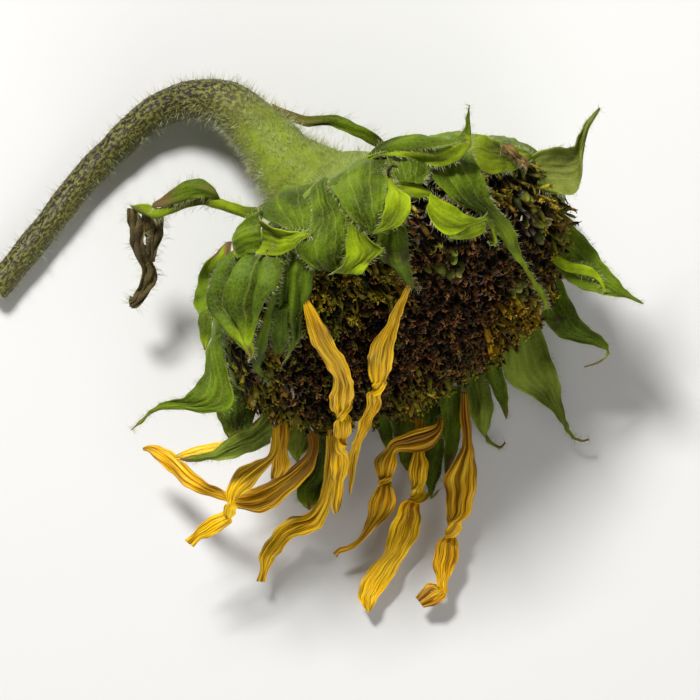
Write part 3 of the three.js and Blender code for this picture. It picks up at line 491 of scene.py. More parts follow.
# ------------------------------------------------------------ plain maths
def head_radius(d):
    """Radius of the head at signed distances along its axis."""
    back = np.interp(-d, [row[0] for row in BACK], [row[1] for row in BACK], right=0.0)
    front = DISC_RADIUS * np.sqrt(np.clip(1 - (d / DISC_HEIGHT) ** 2, 0, 1))
    return np.where(d < 0, back, front)


def head_top(x, y):
    """Height of the head's upper surface over points of the floor, 0 where there is none."""
    x, y = np.atleast_1d(np.asarray(x, float)), np.atleast_1d(np.asarray(y, float))
    top = np.zeros_like(x)
    for z in np.arange(0, HEAD_TOP_MOST, 0.5):
        q = np.stack([x, y, np.full_like(x, z)], -1) - RIM_CENTRE
        d = q @ AXIS
        inside = np.linalg.norm(q - d[:, None] * AXIS, axis=1) < head_radius(d)
        top[inside] = z
    return top


def spline(rows, u):
    """Smooth curve through evenly spaced rows, at places u from 0 to len(rows) - 1."""
    rows = np.asarray(rows, float)
    last = len(rows) - 1
    i = np.clip(np.floor(u).astype(int), 0, last - 1)
    f = (u - i)[:, None]
    a, b, c, d = (rows[np.clip(i + k, 0, last)] for k in (-1, 0, 1, 2))
    return b + 0.5 * f * (c - a + f * (2 * a - 5 * b + 4 * c - d + f * (3 * (b - c) + d - a)))


def unit(v):
    """Vectors of length 1 in the same directions."""
    return v / np.maximum(np.linalg.norm(v, axis=-1, keepdims=True), 1e-9)


def smooth_step(low, high, v):
    """0 below low, 1 above high, and an even curve between."""
    t = np.clip((v - low) / (high - low), 0, 1)
    return t * t * (3 - 2 * t)


def srgb(hex_colour):
    """An sRGB hex colour as linear red, green, blue."""
    values = np.array([int(hex_colour[i:i + 2], 16) / 255 for i in (1, 3, 5)])
    return np.where(values <= 0.04045, values / 12.92, ((values + 0.055) / 1.055) ** 2.4)


# ------------------------------------------------------------ mesh pieces
ROW_STEP = 0.6     # mm between the cross rows of a blade
LEAF_CELL = 0.42   # mm between the points across a leaf or bract
RAY_CELL = 0.2     # mm between the points across a ray floret
TWIST_BULGE = 3.9  # mm that a ribbon swells where it stands on its edge
BLADE_UV_MM = 100  # mm along a blade for each unit of its first UV coordinate


class Shell:
    """Vertices, faces, blade coordinates and tints gathered for one piece."""

    def __init__(self):
        self.points, self.faces, self.coords, self.tints, self.dry = [], [], [], [], []
        self.count = 0

    def add(self, points, faces, coords=None, tint=(1, 1, 1), dry=0.0):
        n = len(points)
        self.points.append(points)
        self.faces.extend((np.asarray(f) + self.count).tolist() for f in faces)
        self.coords.append(np.zeros((n, 2)) if coords is None else coords)
        self.tints.append(np.broadcast_to(np.asarray(tint, float), (n, 3)))
        self.dry.append(np.broadcast_to(np.asarray(dry, float), (n,)))
        self.count += n


def place_piece(name, shell, material, nodes):
    """Makes the mesh object and ties it to the frame."""
    mesh = bpy.data.meshes.new(name)
    points = (np.vstack(shell.points) + ORIGIN) / MM_PER_M
    mesh.from_pydata(points.tolist(), [], shell.faces)
    mesh.shade_smooth()
    corners = np.empty(len(mesh.loops), dtype=np.int32)
    mesh.loops.foreach_get("vertex_index", corners)
    mesh.uv_layers.new(name="blade").data.foreach_set("uv", np.vstack(shell.coords)[corners].ravel())
    tints = np.hstack([np.vstack(shell.tints), np.ones((len(points), 1))])
    mesh.attributes.new("tint", "FLOAT_COLOR", "POINT").data.foreach_set("color", tints.ravel())
    mesh.attributes.new("dry", "FLOAT", "POINT").data.foreach_set("value", np.concatenate(shell.dry))
    mesh.materials.append(material)
    mesh.validate()
    piece = bpy.data.objects.new(name, mesh)
    bpy.context.scene.collection.objects.link(piece)
    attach(piece, "root")
    if nodes:
        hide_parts(*nodes)


def grid_faces(rows, columns, start=0, flip=False):
    """Four-sided faces of a grid of points, listed row by row."""
    faces = []
    for i in range(rows - 1):
        for j in range(columns - 1):
            a = start + i * columns + j
            quad = (a, a + 1, a + columns + 1, a + columns)
            faces.append(quad[::-1] if flip else quad)
    return faces


def steady(up):
    """Turns each normal to the side of the one before it, so that a twist keeps its two faces."""
    turned = up * (-1 if up[0, 2] < 0 else 1)
    for i in range(1, len(up)):
        turned[i] = up[i] if up[i] @ turned[i - 1] >= 0 else -up[i]
    return turned


def strip_edges(rows, lies):
    """Left edge, right edge and bulge of a strip at its rows."""
    rows = np.array([row + (0,) * (7 - len(row)) for row in rows], float)
    height = rows[:, 4].copy()
    if lies:
        low = height < ABOVE_HEAD
        middle = (rows[:, 0:2] + rows[:, 2:4]) / 2
        height[low] += head_top(middle[low, 0], middle[low, 1])
    left = np.column_stack([rows[:, 0:2], height])
    right = np.column_stack([rows[:, 2:4], height + rows[:, 6]])
    return left, right, rows[:, 5:6]


def strip_surface(rows, lies, relief, rng):
    """Middle surface of one strip: points, normals, blade coordinates, reach, s, lift and length."""
    left, right, bulge = strip_edges(rows, lies)
    length = np.linalg.norm(np.diff((left + right) / 2, axis=0), axis=1).sum()
    width = np.linalg.norm(right - left, axis=1).max()
    nu = int(np.clip(length / ROW_STEP, 14, 130))
    cell, least, most = (RAY_CELL, 10, 56) if relief is ray_relief else (LEAF_CELL, 8, 40)
    ns = int(np.clip(width / cell, least, most))
    both = spline(np.hstack([left, right, bulge]), np.linspace(0, len(rows) - 1, nu))
    left, right, bulge = both[:, 0:3], both[:, 3:6], both[:, 6]
    along = unit(np.gradient((left + right) / 2, axis=0))
    up = steady(unit(np.cross(along, right - left)))
    s = np.linspace(-1, 1, ns)
    reach = np.linspace(0, length, nu)
    chord = unit(right - left)
    turned = smooth_step(0.45, 0.85, np.abs(chord[:, 2]))  # 1 where a ribbon stands on its edge in a twist
    if relief is ray_relief:
        bulge = bulge + turned * (TWIST_BULGE * np.where(bulge < -1, -1, 1) - bulge)
    for edge, way in ((left, -1), (right, 1)):
        phase = rng.uniform(0, TURN, 3)
        fray = sum(size * np.sin(reach / span + start)
                   for size, span, start in zip((0.16, 0.2, 0.22), (0.9, 2.1, 4), phase))
        taper = np.clip(np.sin(math.pi * reach / length), 0, 1) ** 0.5
        edge += (way * fray * np.minimum(1, width / 8) * taper)[:, None] * chord
    half = np.linalg.norm(right - left, axis=1) / 2
    points = ((left + right)[:, None] / 2 + s[None, :, None] * (right - left)[:, None] / 2
              + (bulge[:, None] * (1 - s ** 2 - 0.5 * turned[:, None]))[..., None] * up[:, None])
    lift = relief(reach[:, None], s[None, :], half[:, None], length, rng)
    points = points + lift[..., None] * up[:, None]
    if lies:
        floor = head_top(points[..., 0].ravel(), points[..., 1].ravel()).reshape(nu, ns)
        in_front = (points - RIM_CENTRE) @ AXIS > 1
        clear = np.where(in_front, 3.4, 1.8) - 3.5 * smooth_step(0.12, 0.0, reach / length)[:, None]
        points[..., 2] = np.where(floor > 0, np.maximum(points[..., 2], floor + clear), points[..., 2])
    points[..., 2] = np.maximum(points[..., 2], 0.3)
    du, ds = np.gradient(points, axis=0), np.gradient(points, axis=1)
    normals = unit(np.cross(du, ds))
    place = np.stack(np.broadcast_arrays(reach[:, None] / BLADE_UV_MM, (s[None, :] + 1) / 2), -1)
    return points, normals, place, reach, s, lift, length


def bract_relief(reach, s, half, length, rng):
    """Raised veins, a slow ripple, fine puckers and a wavy margin."""
    t = reach / length
    veins = sum(np.exp(-((s - v) / 0.06) ** 2) for v in (-0.66, -0.33, 0, 0.33, 0.66))
    phase = rng.uniform(0, TURN, 6)
    ripple = np.sin(reach / 4.6 + 1.3 * s + phase[0]) * np.sin(2.2 * s + phase[1])
    pucker = np.sin(reach / 1.5 + phase[2] + 2 * s) * np.sin(9 * s + phase[3] + reach / 6)
    margin = np.abs(s) ** 4 * np.sin(reach / 2.6 + phase[4] + 1.5 * np.sign(s))
    body = np.clip(half / 4, 0, 1) * (1 - smooth_step(0.85, 1, t))
    rim = smooth_step(0.7, 1, np.abs(s)) * np.clip(half / 4, 0, 1)
    keel = np.exp(-(s / 0.09) ** 2)
    return body * (0.2 * veins + 0.45 * keel + 1.2 * ripple + 0.22 * pucker + 0.6 * margin + 1.0 * rim)


def pleated_relief(reach, s, half, length, rng):
    """A broad bract thrown into deep lengthwise pleats."""
    body = np.clip(half / 6, 0, 1) * np.clip(np.sin(math.pi * np.clip(reach / length, 0.02, 0.98)), 0, 1)
    pleats = np.sin(8.5 * s + 0.9 * np.sin(reach / 9) + 0.6)
    return bract_relief(reach, s, half, length, rng) + 1.7 * body * pleats


def ray_relief(reach, s, half, length, rng):
    """Deep lengthwise furrows, a slow ripple and rolled margins."""
    phase = rng.uniform(0, TURN, 8)
    drift = 0.7 * np.sin(reach / 6 + phase[0])
    centre = 0.25 * np.sin(phase[6]) + 0.12 * np.sin(reach / 9 + phase[7])
    fold = (0.5 - 1.9 * np.exp(-((s - centre) / 0.15) ** 2)
            - 0.9 * np.exp(-((np.abs(s - centre) - 0.62) / 0.1) ** 2))
    creases = (np.abs(np.sin(5 * s + drift + phase[1])) ** 0.5 - 0.76
               + 0.6 * (np.abs(np.sin(11 * s - 1.4 * drift + phase[2])) ** 0.5 - 0.76))
    ripple = np.sin(reach / 4.2 + phase[3]) * s + 0.6 * np.sin(reach / 2.7 + phase[4] + 2 * s)
    crimp = np.abs(s) ** 3 * np.sin(reach / 1.7 + phase[5] + 2 * np.sign(s))
    body = np.clip(half / 3, 0.15, 1)
    return body * (0.4 * fold + 0.75 * creases + 0.45 * ripple + 0.6 * crimp)


def wilted_relief(reach, s, half, length, rng):
    """Crumpled folds of a leaf that has dried on the plant."""
    crumple = (0.5 * np.sin(7 * s + reach / 1.6) + 0.4 * np.sin(reach / 1.1 + 3 * s)
               + 0.3 * np.sin(13 * s - reach / 2))
    return bract_relief(reach, s, half, length, rng) + np.clip(half / 1.5, 0, 1) * crumple


def rooted(points, t):
    """Draws the root of a blade in to the wall of the head, just under its skin."""
    offset = points - RIM_CENTRE
    d = offset @ AXIS
    radial = unit(offset - d[..., None] * AXIS)
    level = np.clip(d, -14, DISC_HEIGHT - 2)
    under = RIM_CENTRE + level[..., None] * AXIS + np.maximum(head_radius(level) - 2.5, 0)[..., None] * radial
    near = (np.linalg.norm(points - under, axis=-1) < 18) * smooth_step(1, -3, d)
    pull = smooth_step(0.24, 0, t)[:, None, None] * near[..., None]
    return points + pull * (under - points)


# looks whose tips fade in painted light towards the lit copy of the bract green
PALE_TIPPED = ("outer", "deep", "pale", "hooked")
RELIEFS = {"deep": pleated_relief, "dry": wilted_relief, "husk": wilted_relief}


def blade_colours(look, looks, lift, t, s, rng, hollow_shade, at_head, folded_over):
    """Tint and dryness of every point of a strip, where t runs from root to tip and s across. The tint holds
    painted shade and painted highlight, and the dryness holds painted shade in the hollows.
    """
    tint, dry_from, dry_to, dry_most, dry_root = looks[look]
    wander = 0.08 * np.sin(5 * s + rng.uniform(0, 6))
    dry = dry_most * (not folded_over) * smooth_step(dry_from, dry_to, t[:, None] + wander[None, :])
    # painted shade: the deepest hollows of a ray floret's relief are mixed towards its dried brown
    dry = np.maximum(dry, hollow_shade * np.clip(-lift - 0.2, 0, 1))
    dry = np.maximum(dry, dry_root * smooth_step(0.4, 0, t[:, None] + 2 * wander[None, :]))
    # painted shade and painted highlight: darker where the relief sinks and lighter where it rises; paler
    # towards the margin, which is partly the real pale margin and partly a painted highlight on the rim
    shade = 1 + 0.32 * np.clip(lift, -1, 1) + 0.25 * smooth_step(0.86, 1, np.abs(s))
    # painted shade at the root, where a bract runs in under its neighbours
    if at_head:
        shade = shade * (1 - 0.15 * smooth_step(0.4, 0, t))[:, None]
    # painted light: the tips of the looks in PALE_TIPPED fade towards the lit copy of the bract green
    pale_from = 0.2 if look == "hooked" else 0.6
    pale = look in PALE_TIPPED and not folded_over
    tip = 0.8 * smooth_step(pale_from, 0.95, t)[:, None, None] * pale
    tint = (1 - tip) * tint * shade[..., None] + tip * looks["bright"][0]
    return tint.reshape(-1, 3), dry.ravel()


def sheet_faces(nu, ns):
    """Faces of two facing grids of nu by ns points, joined all round their margin."""
    rim = ([(i, 0) for i in range(nu)] + [(nu - 1, j) for j in range(1, ns)]
           + [(i, ns - 1) for i in range(nu - 2, -1, -1)] + [(0, j) for j in range(ns - 2, 0, -1)])
    ids = [i * ns + j for i, j in rim]
    m = nu * ns
    return (grid_faces(nu, ns) + grid_faces(nu, ns, m, flip=True)
            + [(a, b, b + m, a + m) for a, b in zip(ids, ids[1:] + ids[:1])])


def add_blade(shell, strips, relief, thickness, looks, seed, hollow_shade=0.0, at_head=False, lifted=0.0):
    """Adds the strips of one blade, with both faces and closed margins. Returns samples of its skin."""
    rng = np.random.default_rng(seed)
    samples = []
    for number, (lay, look, rows) in enumerate(strips):
        points, normals, place, reach, s, lift, length = strip_surface(
            rows, lay == "lies", RELIEFS.get(look, relief), rng)
        nu, ns = points.shape[:2]
        t = reach / length
        points[..., 2] += lifted
        if number == 0 and at_head:
            points = rooted(points, t)
        thin = thickness / 2 * (1 - 0.6 * np.abs(s) ** 3)[None, :, None] * np.ones((nu, 1, 1))
        top, bottom = points - thin * normals, points + thin * normals
        folded_over = at_head and number < len(strips) - 1
        tint, dry = blade_colours(look, looks, lift, t, s, rng, hollow_shade, at_head, folded_over)
        shell.add(np.vstack([top.reshape(-1, 3), bottom.reshape(-1, 3)]), sheet_faces(nu, ns),
                  np.vstack([place.reshape(-1, 2)] * 2), np.vstack([tint] * 2), np.concatenate([dry] * 2))
        samples.append((points, normals, look))
    return samples


def build_blades(table, first_seed, skin, relief, thickness, looks, hollow_shade=0.0, at_head=False):
    """Builds each blade of a table as a piece of its own. Returns samples of their skins."""
    samples = []
    for seed, (name, strips) in enumerate(table.items(), first_seed):
        shell = Shell()
        lifted = LIFTED.get(name, 0.0)
        samples += add_blade(shell, strips, relief, thickness, looks, seed, hollow_shade, at_head, lifted)
        place_piece(name, shell, skin, [name])
    return samples


def add_hairs(shell, roots, ways, length, radius, rng, droop=0.25):
    """Adds thin bent three-sided hairs."""
    n = len(roots)
    if not n:
        return
    ways = unit(ways + rng.normal(0, 0.28, (n, 3)))
    size = length * rng.uniform(0.5, 1.25, (n, 1))
    bend = unit(np.cross(ways, rng.normal(0, 1, (n, 3))))
    side = unit(np.cross(ways, bend))
    middle = roots + 0.55 * size * ways + 0.12 * size * bend
    tip = roots + size * ways + (0.35 * bend - droop * np.array([0, 0, 1])) * size
    points = []
    for centre, r in ((roots, radius), (middle, radius * 0.75)):
        for k in range(3):
            a = THIRD_OF_TURN * k
            points.append(centre + r * (math.cos(a) * bend + math.sin(a) * side))
    points.append(tip)
    points = np.stack(points, 1).reshape(-1, 3)
    points[:, 2] = np.maximum(points[:, 2], 0.1)
    cell = [(0, 2, 1), (0, 1, 4, 3), (1, 2, 5, 4), (2, 0, 3, 5), (3, 4, 6), (4, 5, 6), (5, 3, 6)]
    faces = [tuple(7 * i + k for k in face) for i in range(n) for face in cell]
    shell.add(points, faces)


# -------------------------------------------------------------- materials
ATTRIBUTE = "ShaderNodeAttribute"
COORDINATES = "ShaderNodeTexCoord"
MATH = "ShaderNodeMath"
NOISE = "ShaderNodeTexNoise"
# inputs of a range node: 0 value, 1 and 2 the limits read, 3 and 4 the limits given out, 0 and 1 if left out
RANGE = "ShaderNodeMapRange"
# inputs of a colour mix: 0 share of the second colour, 6 first colour, 7 second colour; its output is 2
MIX = "ShaderNodeMix"
BLEND = {"data_type": "RGBA"}
MULTIPLY = {"data_type": "RGBA", "blend_type": "MULTIPLY"}

LEAF_SHADE = "#7e862c"    # times a leaf's tint, in its darker clouds
LEAF_DOWN = "#a2a840"     # lie of the fine down on a leaf
STEM_SHADE = "#8c8c50"    # times the stem's tint, in its darker clouds
STEM_SPECK = "#9aa24e"    # pale flecks of the stem's rind
CUT_FACE = "#c4c98a"      # fresh pith where the stem is cut
HAIR_SHADE = "#c8b48c"    # times a hair's colour, where it has aged
FLORET_SHADE = "#7a6448"  # times a floret's tint, in its darker spots
FLORET_FOOT_SHADE = "#060302"   # painted shade deep between the florets, at their feet and under their teeth
# painted shade deep between the florets, laid on the floor of the disc: near-black, with specks a little less
# dark
DISC_FLOOR_SHADE = "#040201"
DISC_FLOOR_SHADE_SPECK = "#140b05"


def add_node(tree, kind, inputs=None, out=0, **settings):
    """Adds a node with its settings, sets or links its inputs, and returns one of its outputs."""
    node = tree.nodes.new(kind)
    for key, value in settings.items():
        setattr(node, key, value)
    for key, value in (inputs or {}).items():
        if isinstance(value, bpy.types.NodeSocket):
            tree.links.new(value, node.inputs[key])
        else:
            node.inputs[key].default_value = value
    return node.outputs[out]


def new_material(name, roughness, **sockets):
    """A new material with its tree and its shader, whose own sockets are set."""
    material = bpy.data.materials.new(name)
    material.use_nodes = True
    tree = material.node_tree
    shader = tree.nodes["Principled BSDF"]
    shader.inputs["Roughness"].default_value = roughness
    for key, value in sockets.items():
        shader.inputs[key.replace("_", " ")].default_value = value
    return material, tree, shader


def finish_skin(tree, shader, colour, height=None, strength=0.0, depth_mm=0.0):
    """Links a skin's colour to its shader and, where there is a height, its relief."""
    tree.links.new(colour, shader.inputs["Base Color"])
    if height is not None:
        relief = {"Height": height, "Strength": strength, "Distance": depth_mm / MM_PER_M}
        tree.links.new(add_node(tree, "ShaderNodeBump", relief), shader.inputs["Normal"])


def rgba(hex_colour):
    """An sRGB hex colour as a linear colour socket takes it."""
    return (*srgb(hex_colour), 1.0)


def noise_scale(size_mm):
    """Scale of a noise whose spots are about size_mm wide, light and dark in turn."""
    return MM_PER_M / size_mm / 2


def blade_lines(tree, count, size_mm):
    """About count lines across a blade, each of which changes about every size_mm along it."""
    uv = add_node(tree, "ShaderNodeUVMap", uv_map="blade")
    scale = (round(BLADE_UV_MM / size_mm), count, 1)
    drawn_out = add_node(tree, "ShaderNodeMapping", {"Vector": uv, "Scale": scale})
    return add_node(tree, NOISE, {"Vector": drawn_out, "Scale": 1.0, "Detail": 3.0})


def veins(tree, where):
    """1 on the lengthwise veins of a leaf, which run together towards the tip."""
    uv = add_node(tree, "ShaderNodeUVMap", uv_map="blade")
    across = add_node(tree, "ShaderNodeSeparateXYZ", {0: uv}, 1)
    wander = add_node(tree, NOISE, {"Vector": where, "Scale": noise_scale(5), "Detail": 3.0})
    shift = add_node(tree, MATH, {0: wander, 1: 0.03, 2: -0.015}, operation="MULTIPLY_ADD")
    place = add_node(tree, MATH, {0: across, 1: shift}, operation="ADD")
    wave = add_node(tree, MATH, {0: place, 1: 3.0}, operation="MULTIPLY")
    fold = add_node(tree, MATH, {0: wave, 1: 0.5}, operation="PINGPONG")
    return add_node(tree, RANGE, {0: fold, 1: 0.05, 2: 0.0})


def leaf_skin(name, palette):
    """Leaf tissue, grown, and dried from its tip.

    The eye gets a soft broken sheen and no gloss, greens that cloud into each other over 6 mm, pale
    veins with a net of 1.3 mm cells between them, the streaks of short down, brown scars, and a tip
    gone to papery brown.
    """
    material, tree, shader = new_material(name, 0.55, Specular_IOR_Level=0.12)
    tint = add_node(tree, ATTRIBUTE, out="Color", attribute_name="tint")
    dry = add_node(tree, ATTRIBUTE, out="Fac", attribute_name="dry")
    where = add_node(tree, COORDINATES, out="Object")
    vein, dark, light = rgba(palette.vein), rgba(palette.dry_dark), rgba(palette.dry_light)

    cloud = add_node(tree, NOISE, {"Vector": where, "Scale": noise_scale(6), "Detail": 3.0})
    share = add_node(tree, RANGE, {0: cloud, 1: 0.38, 2: 0.66, 4: 0.9})
    shaded = add_node(tree, MIX, {0: 1.0, 6: tint, 7: rgba(LEAF_SHADE)}, 2, **MULTIPLY)
    colour = add_node(tree, MIX, {0: share, 6: tint, 7: shaded}, 2, **BLEND)

    share = add_node(tree, RANGE, {0: veins(tree, where), 4: 0.2})
    colour = add_node(tree, MIX, {0: share, 6: colour, 7: vein}, 2, **BLEND)

    cells = {"Vector": where, "Scale": MM_PER_M / 1.3}
    net = add_node(tree, "ShaderNodeTexVoronoi", cells, feature="DISTANCE_TO_EDGE")
    share = add_node(tree, RANGE, {0: net, 1: 0.12, 2: 0.0, 4: 0.12})
    colour = add_node(tree, MIX, {0: share, 6: colour, 7: vein}, 2, **BLEND)

    down = blade_lines(tree, 60, 1.82)
    share = add_node(tree, RANGE, {0: down, 1: 0.56, 2: 0.72, 4: 0.14})
    colour = add_node(tree, MIX, {0: share, 6: colour, 7: rgba(LEAF_DOWN)}, 2, **BLEND)

    scars = add_node(tree, NOISE, {"Vector": where, "Scale": noise_scale(8), "Detail": 5})
    share = add_node(tree, RANGE, {0: scars, 1: 0.66, 2: 0.72, 4: 0.75})
    colour = add_node(tree, MIX, {0: share, 6: colour, 7: dark}, 2, **BLEND)

    mottle = add_node(tree, NOISE, {"Vector": where, "Scale": noise_scale(1.5), "Detail": 3.0})
    brown = add_node(tree, MIX, {0: mottle, 6: dark, 7: light}, 2, **BLEND)
    colour = add_node(tree, MIX, {0: dry, 6: colour, 7: brown}, 2, **BLEND)

    height = add_node(tree, MIX, {0: 0.5, 6: net, 7: down}, 2, **BLEND)
    finish_skin(tree, shader, colour, height, 0.8, 0.5)
    return material


def ray_skin(palette):
    """Petal tissue of the ray florets, grown, and dried hanging.

    The eye gets a satin gold that deepens in broad bands, with fine ridges in painted highlight and dark
    furrows drawn out lengthwise, brown with painted shade in them, and rusty papery ends.
    """
    material, tree, shader = new_material("dried_ray_floret_skin", 0.46, Specular_IOR_Level=0.3)
    tint = add_node(tree, ATTRIBUTE, out="Color", attribute_name="tint")
    dry = add_node(tree, ATTRIBUTE, out="Fac", attribute_name="dry")
    lines, bands = blade_lines(tree, 26, 12.5), blade_lines(tree, 7, 16.7)
    furrow = rgba(palette.ray_furrow)

    share = add_node(tree, RANGE, {0: bands, 1: 0.38, 2: 0.66, 4: 0.5})
    colour = add_node(tree, MIX, {0: share, 6: tint, 7: rgba(palette.ray_deep)}, 2, **BLEND)
    # dark furrows, partly the brown of drying and partly painted shade in the grooves
    share = add_node(tree, RANGE, {0: lines, 1: 0.52, 2: 0.64, 4: 0.85})
    colour = add_node(tree, MIX, {0: share, 6: colour, 7: furrow}, 2, **BLEND)
    # painted highlight along the fine ridges
    share = add_node(tree, RANGE, {0: lines, 1: 0.46, 2: 0.32, 4: 0.8})
    colour = add_node(tree, MIX, {0: share, 6: colour, 7: rgba(palette.ray_painted_highlight)}, 2, **BLEND)
    # the dried parts take the same furrow lines, brown with painted shade
    rust = add_node(tree, MIX, {0: lines, 6: rgba(palette.ray_rust), 7: furrow}, 2, **BLEND)
    colour = add_node(tree, MIX, {0: dry, 6: colour, 7: rust}, 2, **BLEND)
    finish_skin(tree, shader, colour, lines, 0.6, 0.4)
    return material


def stem_skin(palette):
    """Stem rind, grown tough and ribbed.

    The eye gets a waxy olive clouded over 4 mm, purple-brown streaks of 1.7 mm towards the cut end,
    pale flecks of 0.8 mm, a fine grain of 1.2 mm, and a yellow-green neck.
    """
    material, tree, shader = new_material("hairy_stem_skin", 0.55, Specular_IOR_Level=0.35)
    tint = add_node(tree, ATTRIBUTE, out="Color", attribute_name="tint")
    dry = add_node(tree, ATTRIBUTE, out="Fac", attribute_name="dry")
    where = add_node(tree, COORDINATES, out="Object")

    cloud = add_node(tree, NOISE, {"Vector": where, "Scale": noise_scale(4), "Detail": 3.0})
    share = add_node(tree, RANGE, {0: cloud, 1: 0.35, 2: 0.65, 4: 0.45})
    shaded = add_node(tree, MIX, {0: 1.0, 6: tint, 7: rgba(STEM_SHADE)}, 2, **MULTIPLY)
    colour = add_node(tree, MIX, {0: share, 6: tint, 7: shaded}, 2, **BLEND)

    blotch = add_node(tree, RANGE, {0: blade_lines(tree, 34, 1.67), 1: 0.465, 2: 0.505})
    share = add_node(tree, MATH, {0: blotch, 1: dry}, operation="MULTIPLY")
    colour = add_node(tree, MIX, {0: share, 6: colour, 7: rgba(palette.stem_blotch)}, 2, **BLEND)

    specks = add_node(tree, NOISE, {"Vector": where, "Scale": noise_scale(0.8), "Detail": 3.0})
    share = add_node(tree, RANGE, {0: specks, 1: 0.6, 2: 0.7, 4: 0.3})
    colour = add_node(tree, MIX, {0: share, 6: colour, 7: rgba(STEM_SPECK)}, 2, **BLEND)

    grain = add_node(tree, NOISE, {"Vector": where, "Scale": noise_scale(1.2), "Detail": 4})
    finish_skin(tree, shader, colour, grain, 0.7, 0.4)
    return material


def hair_skin(name, colour):
    """Plant hair, grown stiff and smooth.

    The eye gets a thin pale glint on each hair, and tufts 3 mm wide that have aged to straw.
    """
    material, tree, shader = new_material(name, 0.35, Specular_IOR_Level=0.5)
    where = add_node(tree, COORDINATES, out="Object")
    tufts = add_node(tree, NOISE, {"Vector": where, "Scale": noise_scale(3), "Detail": 3.0})
    share = add_node(tree, RANGE, {0: tufts, 1: 0.4, 2: 0.65})
    aged = add_node(tree, MIX, {0: 1.0, 6: rgba(colour), 7: rgba(HAIR_SHADE)}, 2, **MULTIPLY)
    finish_skin(tree, shader, add_node(tree, MIX, {0: share, 6: rgba(colour), 7: aged}, 2, **BLEND))
    return material


def floret_skin():
    """Disc florets, withered and shrunk.

    The eye gets dull papery browns and olives, mottled over 0.9 mm, that sink into painted shade between
    them.
    """
    material, tree, shader = new_material("withered_disc_floret_skin", 0.6, Specular_IOR_Level=0.15)
    tint = add_node(tree, ATTRIBUTE, out="Color", attribute_name="tint")
    # on the florets the "dry" attribute holds painted shade, deepest at their feet
    deep = add_node(tree, ATTRIBUTE, out="Fac", attribute_name="dry")
    where = add_node(tree, COORDINATES, out="Object")
    mottle = add_node(tree, NOISE, {"Vector": where, "Scale": noise_scale(0.9), "Detail": 3.0})
    share = add_node(tree, RANGE, {0: mottle, 1: 0.35, 2: 0.65, 4: 0.6})
    shaded = add_node(tree, MIX, {0: 1.0, 6: tint, 7: rgba(FLORET_SHADE)}, 2, **MULTIPLY)
    colour = add_node(tree, MIX, {0: share, 6: tint, 7: shaded}, 2, **BLEND)
    # painted shade: mixed towards near-black at the feet of the florets and under their teeth
    finish_skin(tree, shader, add_node(tree, MIX, {0: deep, 6: colour, 7: rgba(FLORET_FOOT_SHADE)}, 2, **BLEND))
    return material


def dome_skin():
    """The floor of the disc, where the chaff is packed, coloured with painted shade.

    The eye gets a rough near-black of painted shade, broken every 1.2 mm, behind the florets.
    """
    material, tree, shader = new_material("disc_floor_painted_shade", 0.85, Specular_IOR_Level=0.1)
    where = add_node(tree, COORDINATES, out="Object")
    specks = add_node(tree, NOISE, {"Vector": where, "Scale": noise_scale(1.2), "Detail": 3.0})
    # painted shade, broken by slightly less dark specks
    colour = add_node(tree, MIX, {0: specks, 6: rgba(DISC_FLOOR_SHADE), 7: rgba(DISC_FLOOR_SHADE_SPECK)}, 2, **BLEND)
    finish_skin(tree, shader, colour)
    return material


# ------------------------------------------------------ sizes and colours
def hex_prop(name, default, description):
    return bpy.props.StringProperty(name=name, default=default, description=description)


class SunflowerColours(bpy.types.PropertyGroup):
    """Colours as sRGB hex."""
    outer: hex_prop("Bract, outer face", "#596f08", "Mid green of a bract's hairy outer face")
    inner: hex_prop("Bract, inner face", "#869a04", "Yellow-green of a bract's smooth inner face")
    # painted light: a lit copy of the bract green, which the paler bract tips fade towards as well
    bright: hex_prop("Bract, lit face", "#a8c00c", "The freshest yellow-green bracts")
    pale: hex_prop("Bract, dusty face", "#76862a", "Grey-green of the lower bracts")
    dusty: hex_prop("Bract, cupped face", "#6e7630", "Olive of the cupped bract at the upper rim")
    deep: hex_prop("Bract, deep face", "#4a600a", "Dark green of the broad ribbed bracts")
    vein: hex_prop("Veins", "#a6ac48", "Pale veins and margins")
    dry_light: hex_prop("Dried leaf, light", "#96744a", "Tips that have just dried")
    char: hex_prop("Bract, dead tip", "#24150c", "Near-black of a dead curled tip")
    # painted shade: a darker copy of the inner face's yellow-green
    ripe: hex_prop("Bract, shaded inner face", "#6e7e08", "Deep yellow-green of an inner face")
    husk: hex_prop("Withered leaf", "#4a4430", "Grey-brown of a leaf that has withered away")
    dry_dark: hex_prop("Dried leaf, dark", "#38261a", "Shrivelled leaf")
    ray: hex_prop("Ray floret", "#fcc804", "Golden yellow")
    # painted highlight on the ridges of the ray florets
    ray_painted_highlight: hex_prop("Ray floret, ridge", "#ffe42e", "Ridges that catch the light")
    ray_deep: hex_prop("Ray floret, hollow", "#e0a804", "Between the ridges")
    # partly the brown of drying and partly painted shade in the grooves
    ray_furrow: hex_prop("Ray floret, furrow", "#5a3406", "Dark lengthwise furrows")
    ray_rust: hex_prop("Ray floret, dried", "#8c5008", "Rusty brown of the dried base and tip")
    stem: hex_prop("Stem", "#696928", "Olive green of the stem")
    neck: hex_prop("Neck", "#748412", "Pale yellow-green of the neck")
    stem_blotch: hex_prop("Stem blotches", "#20120b", "Purple-brown blotches")
    hair: hex_prop("Hairs", "#c6cc9c", "Pale hairs of the stem and the margins")
    down: hex_prop("Down", "#98a650", "Greenish down on the bracts' faces")


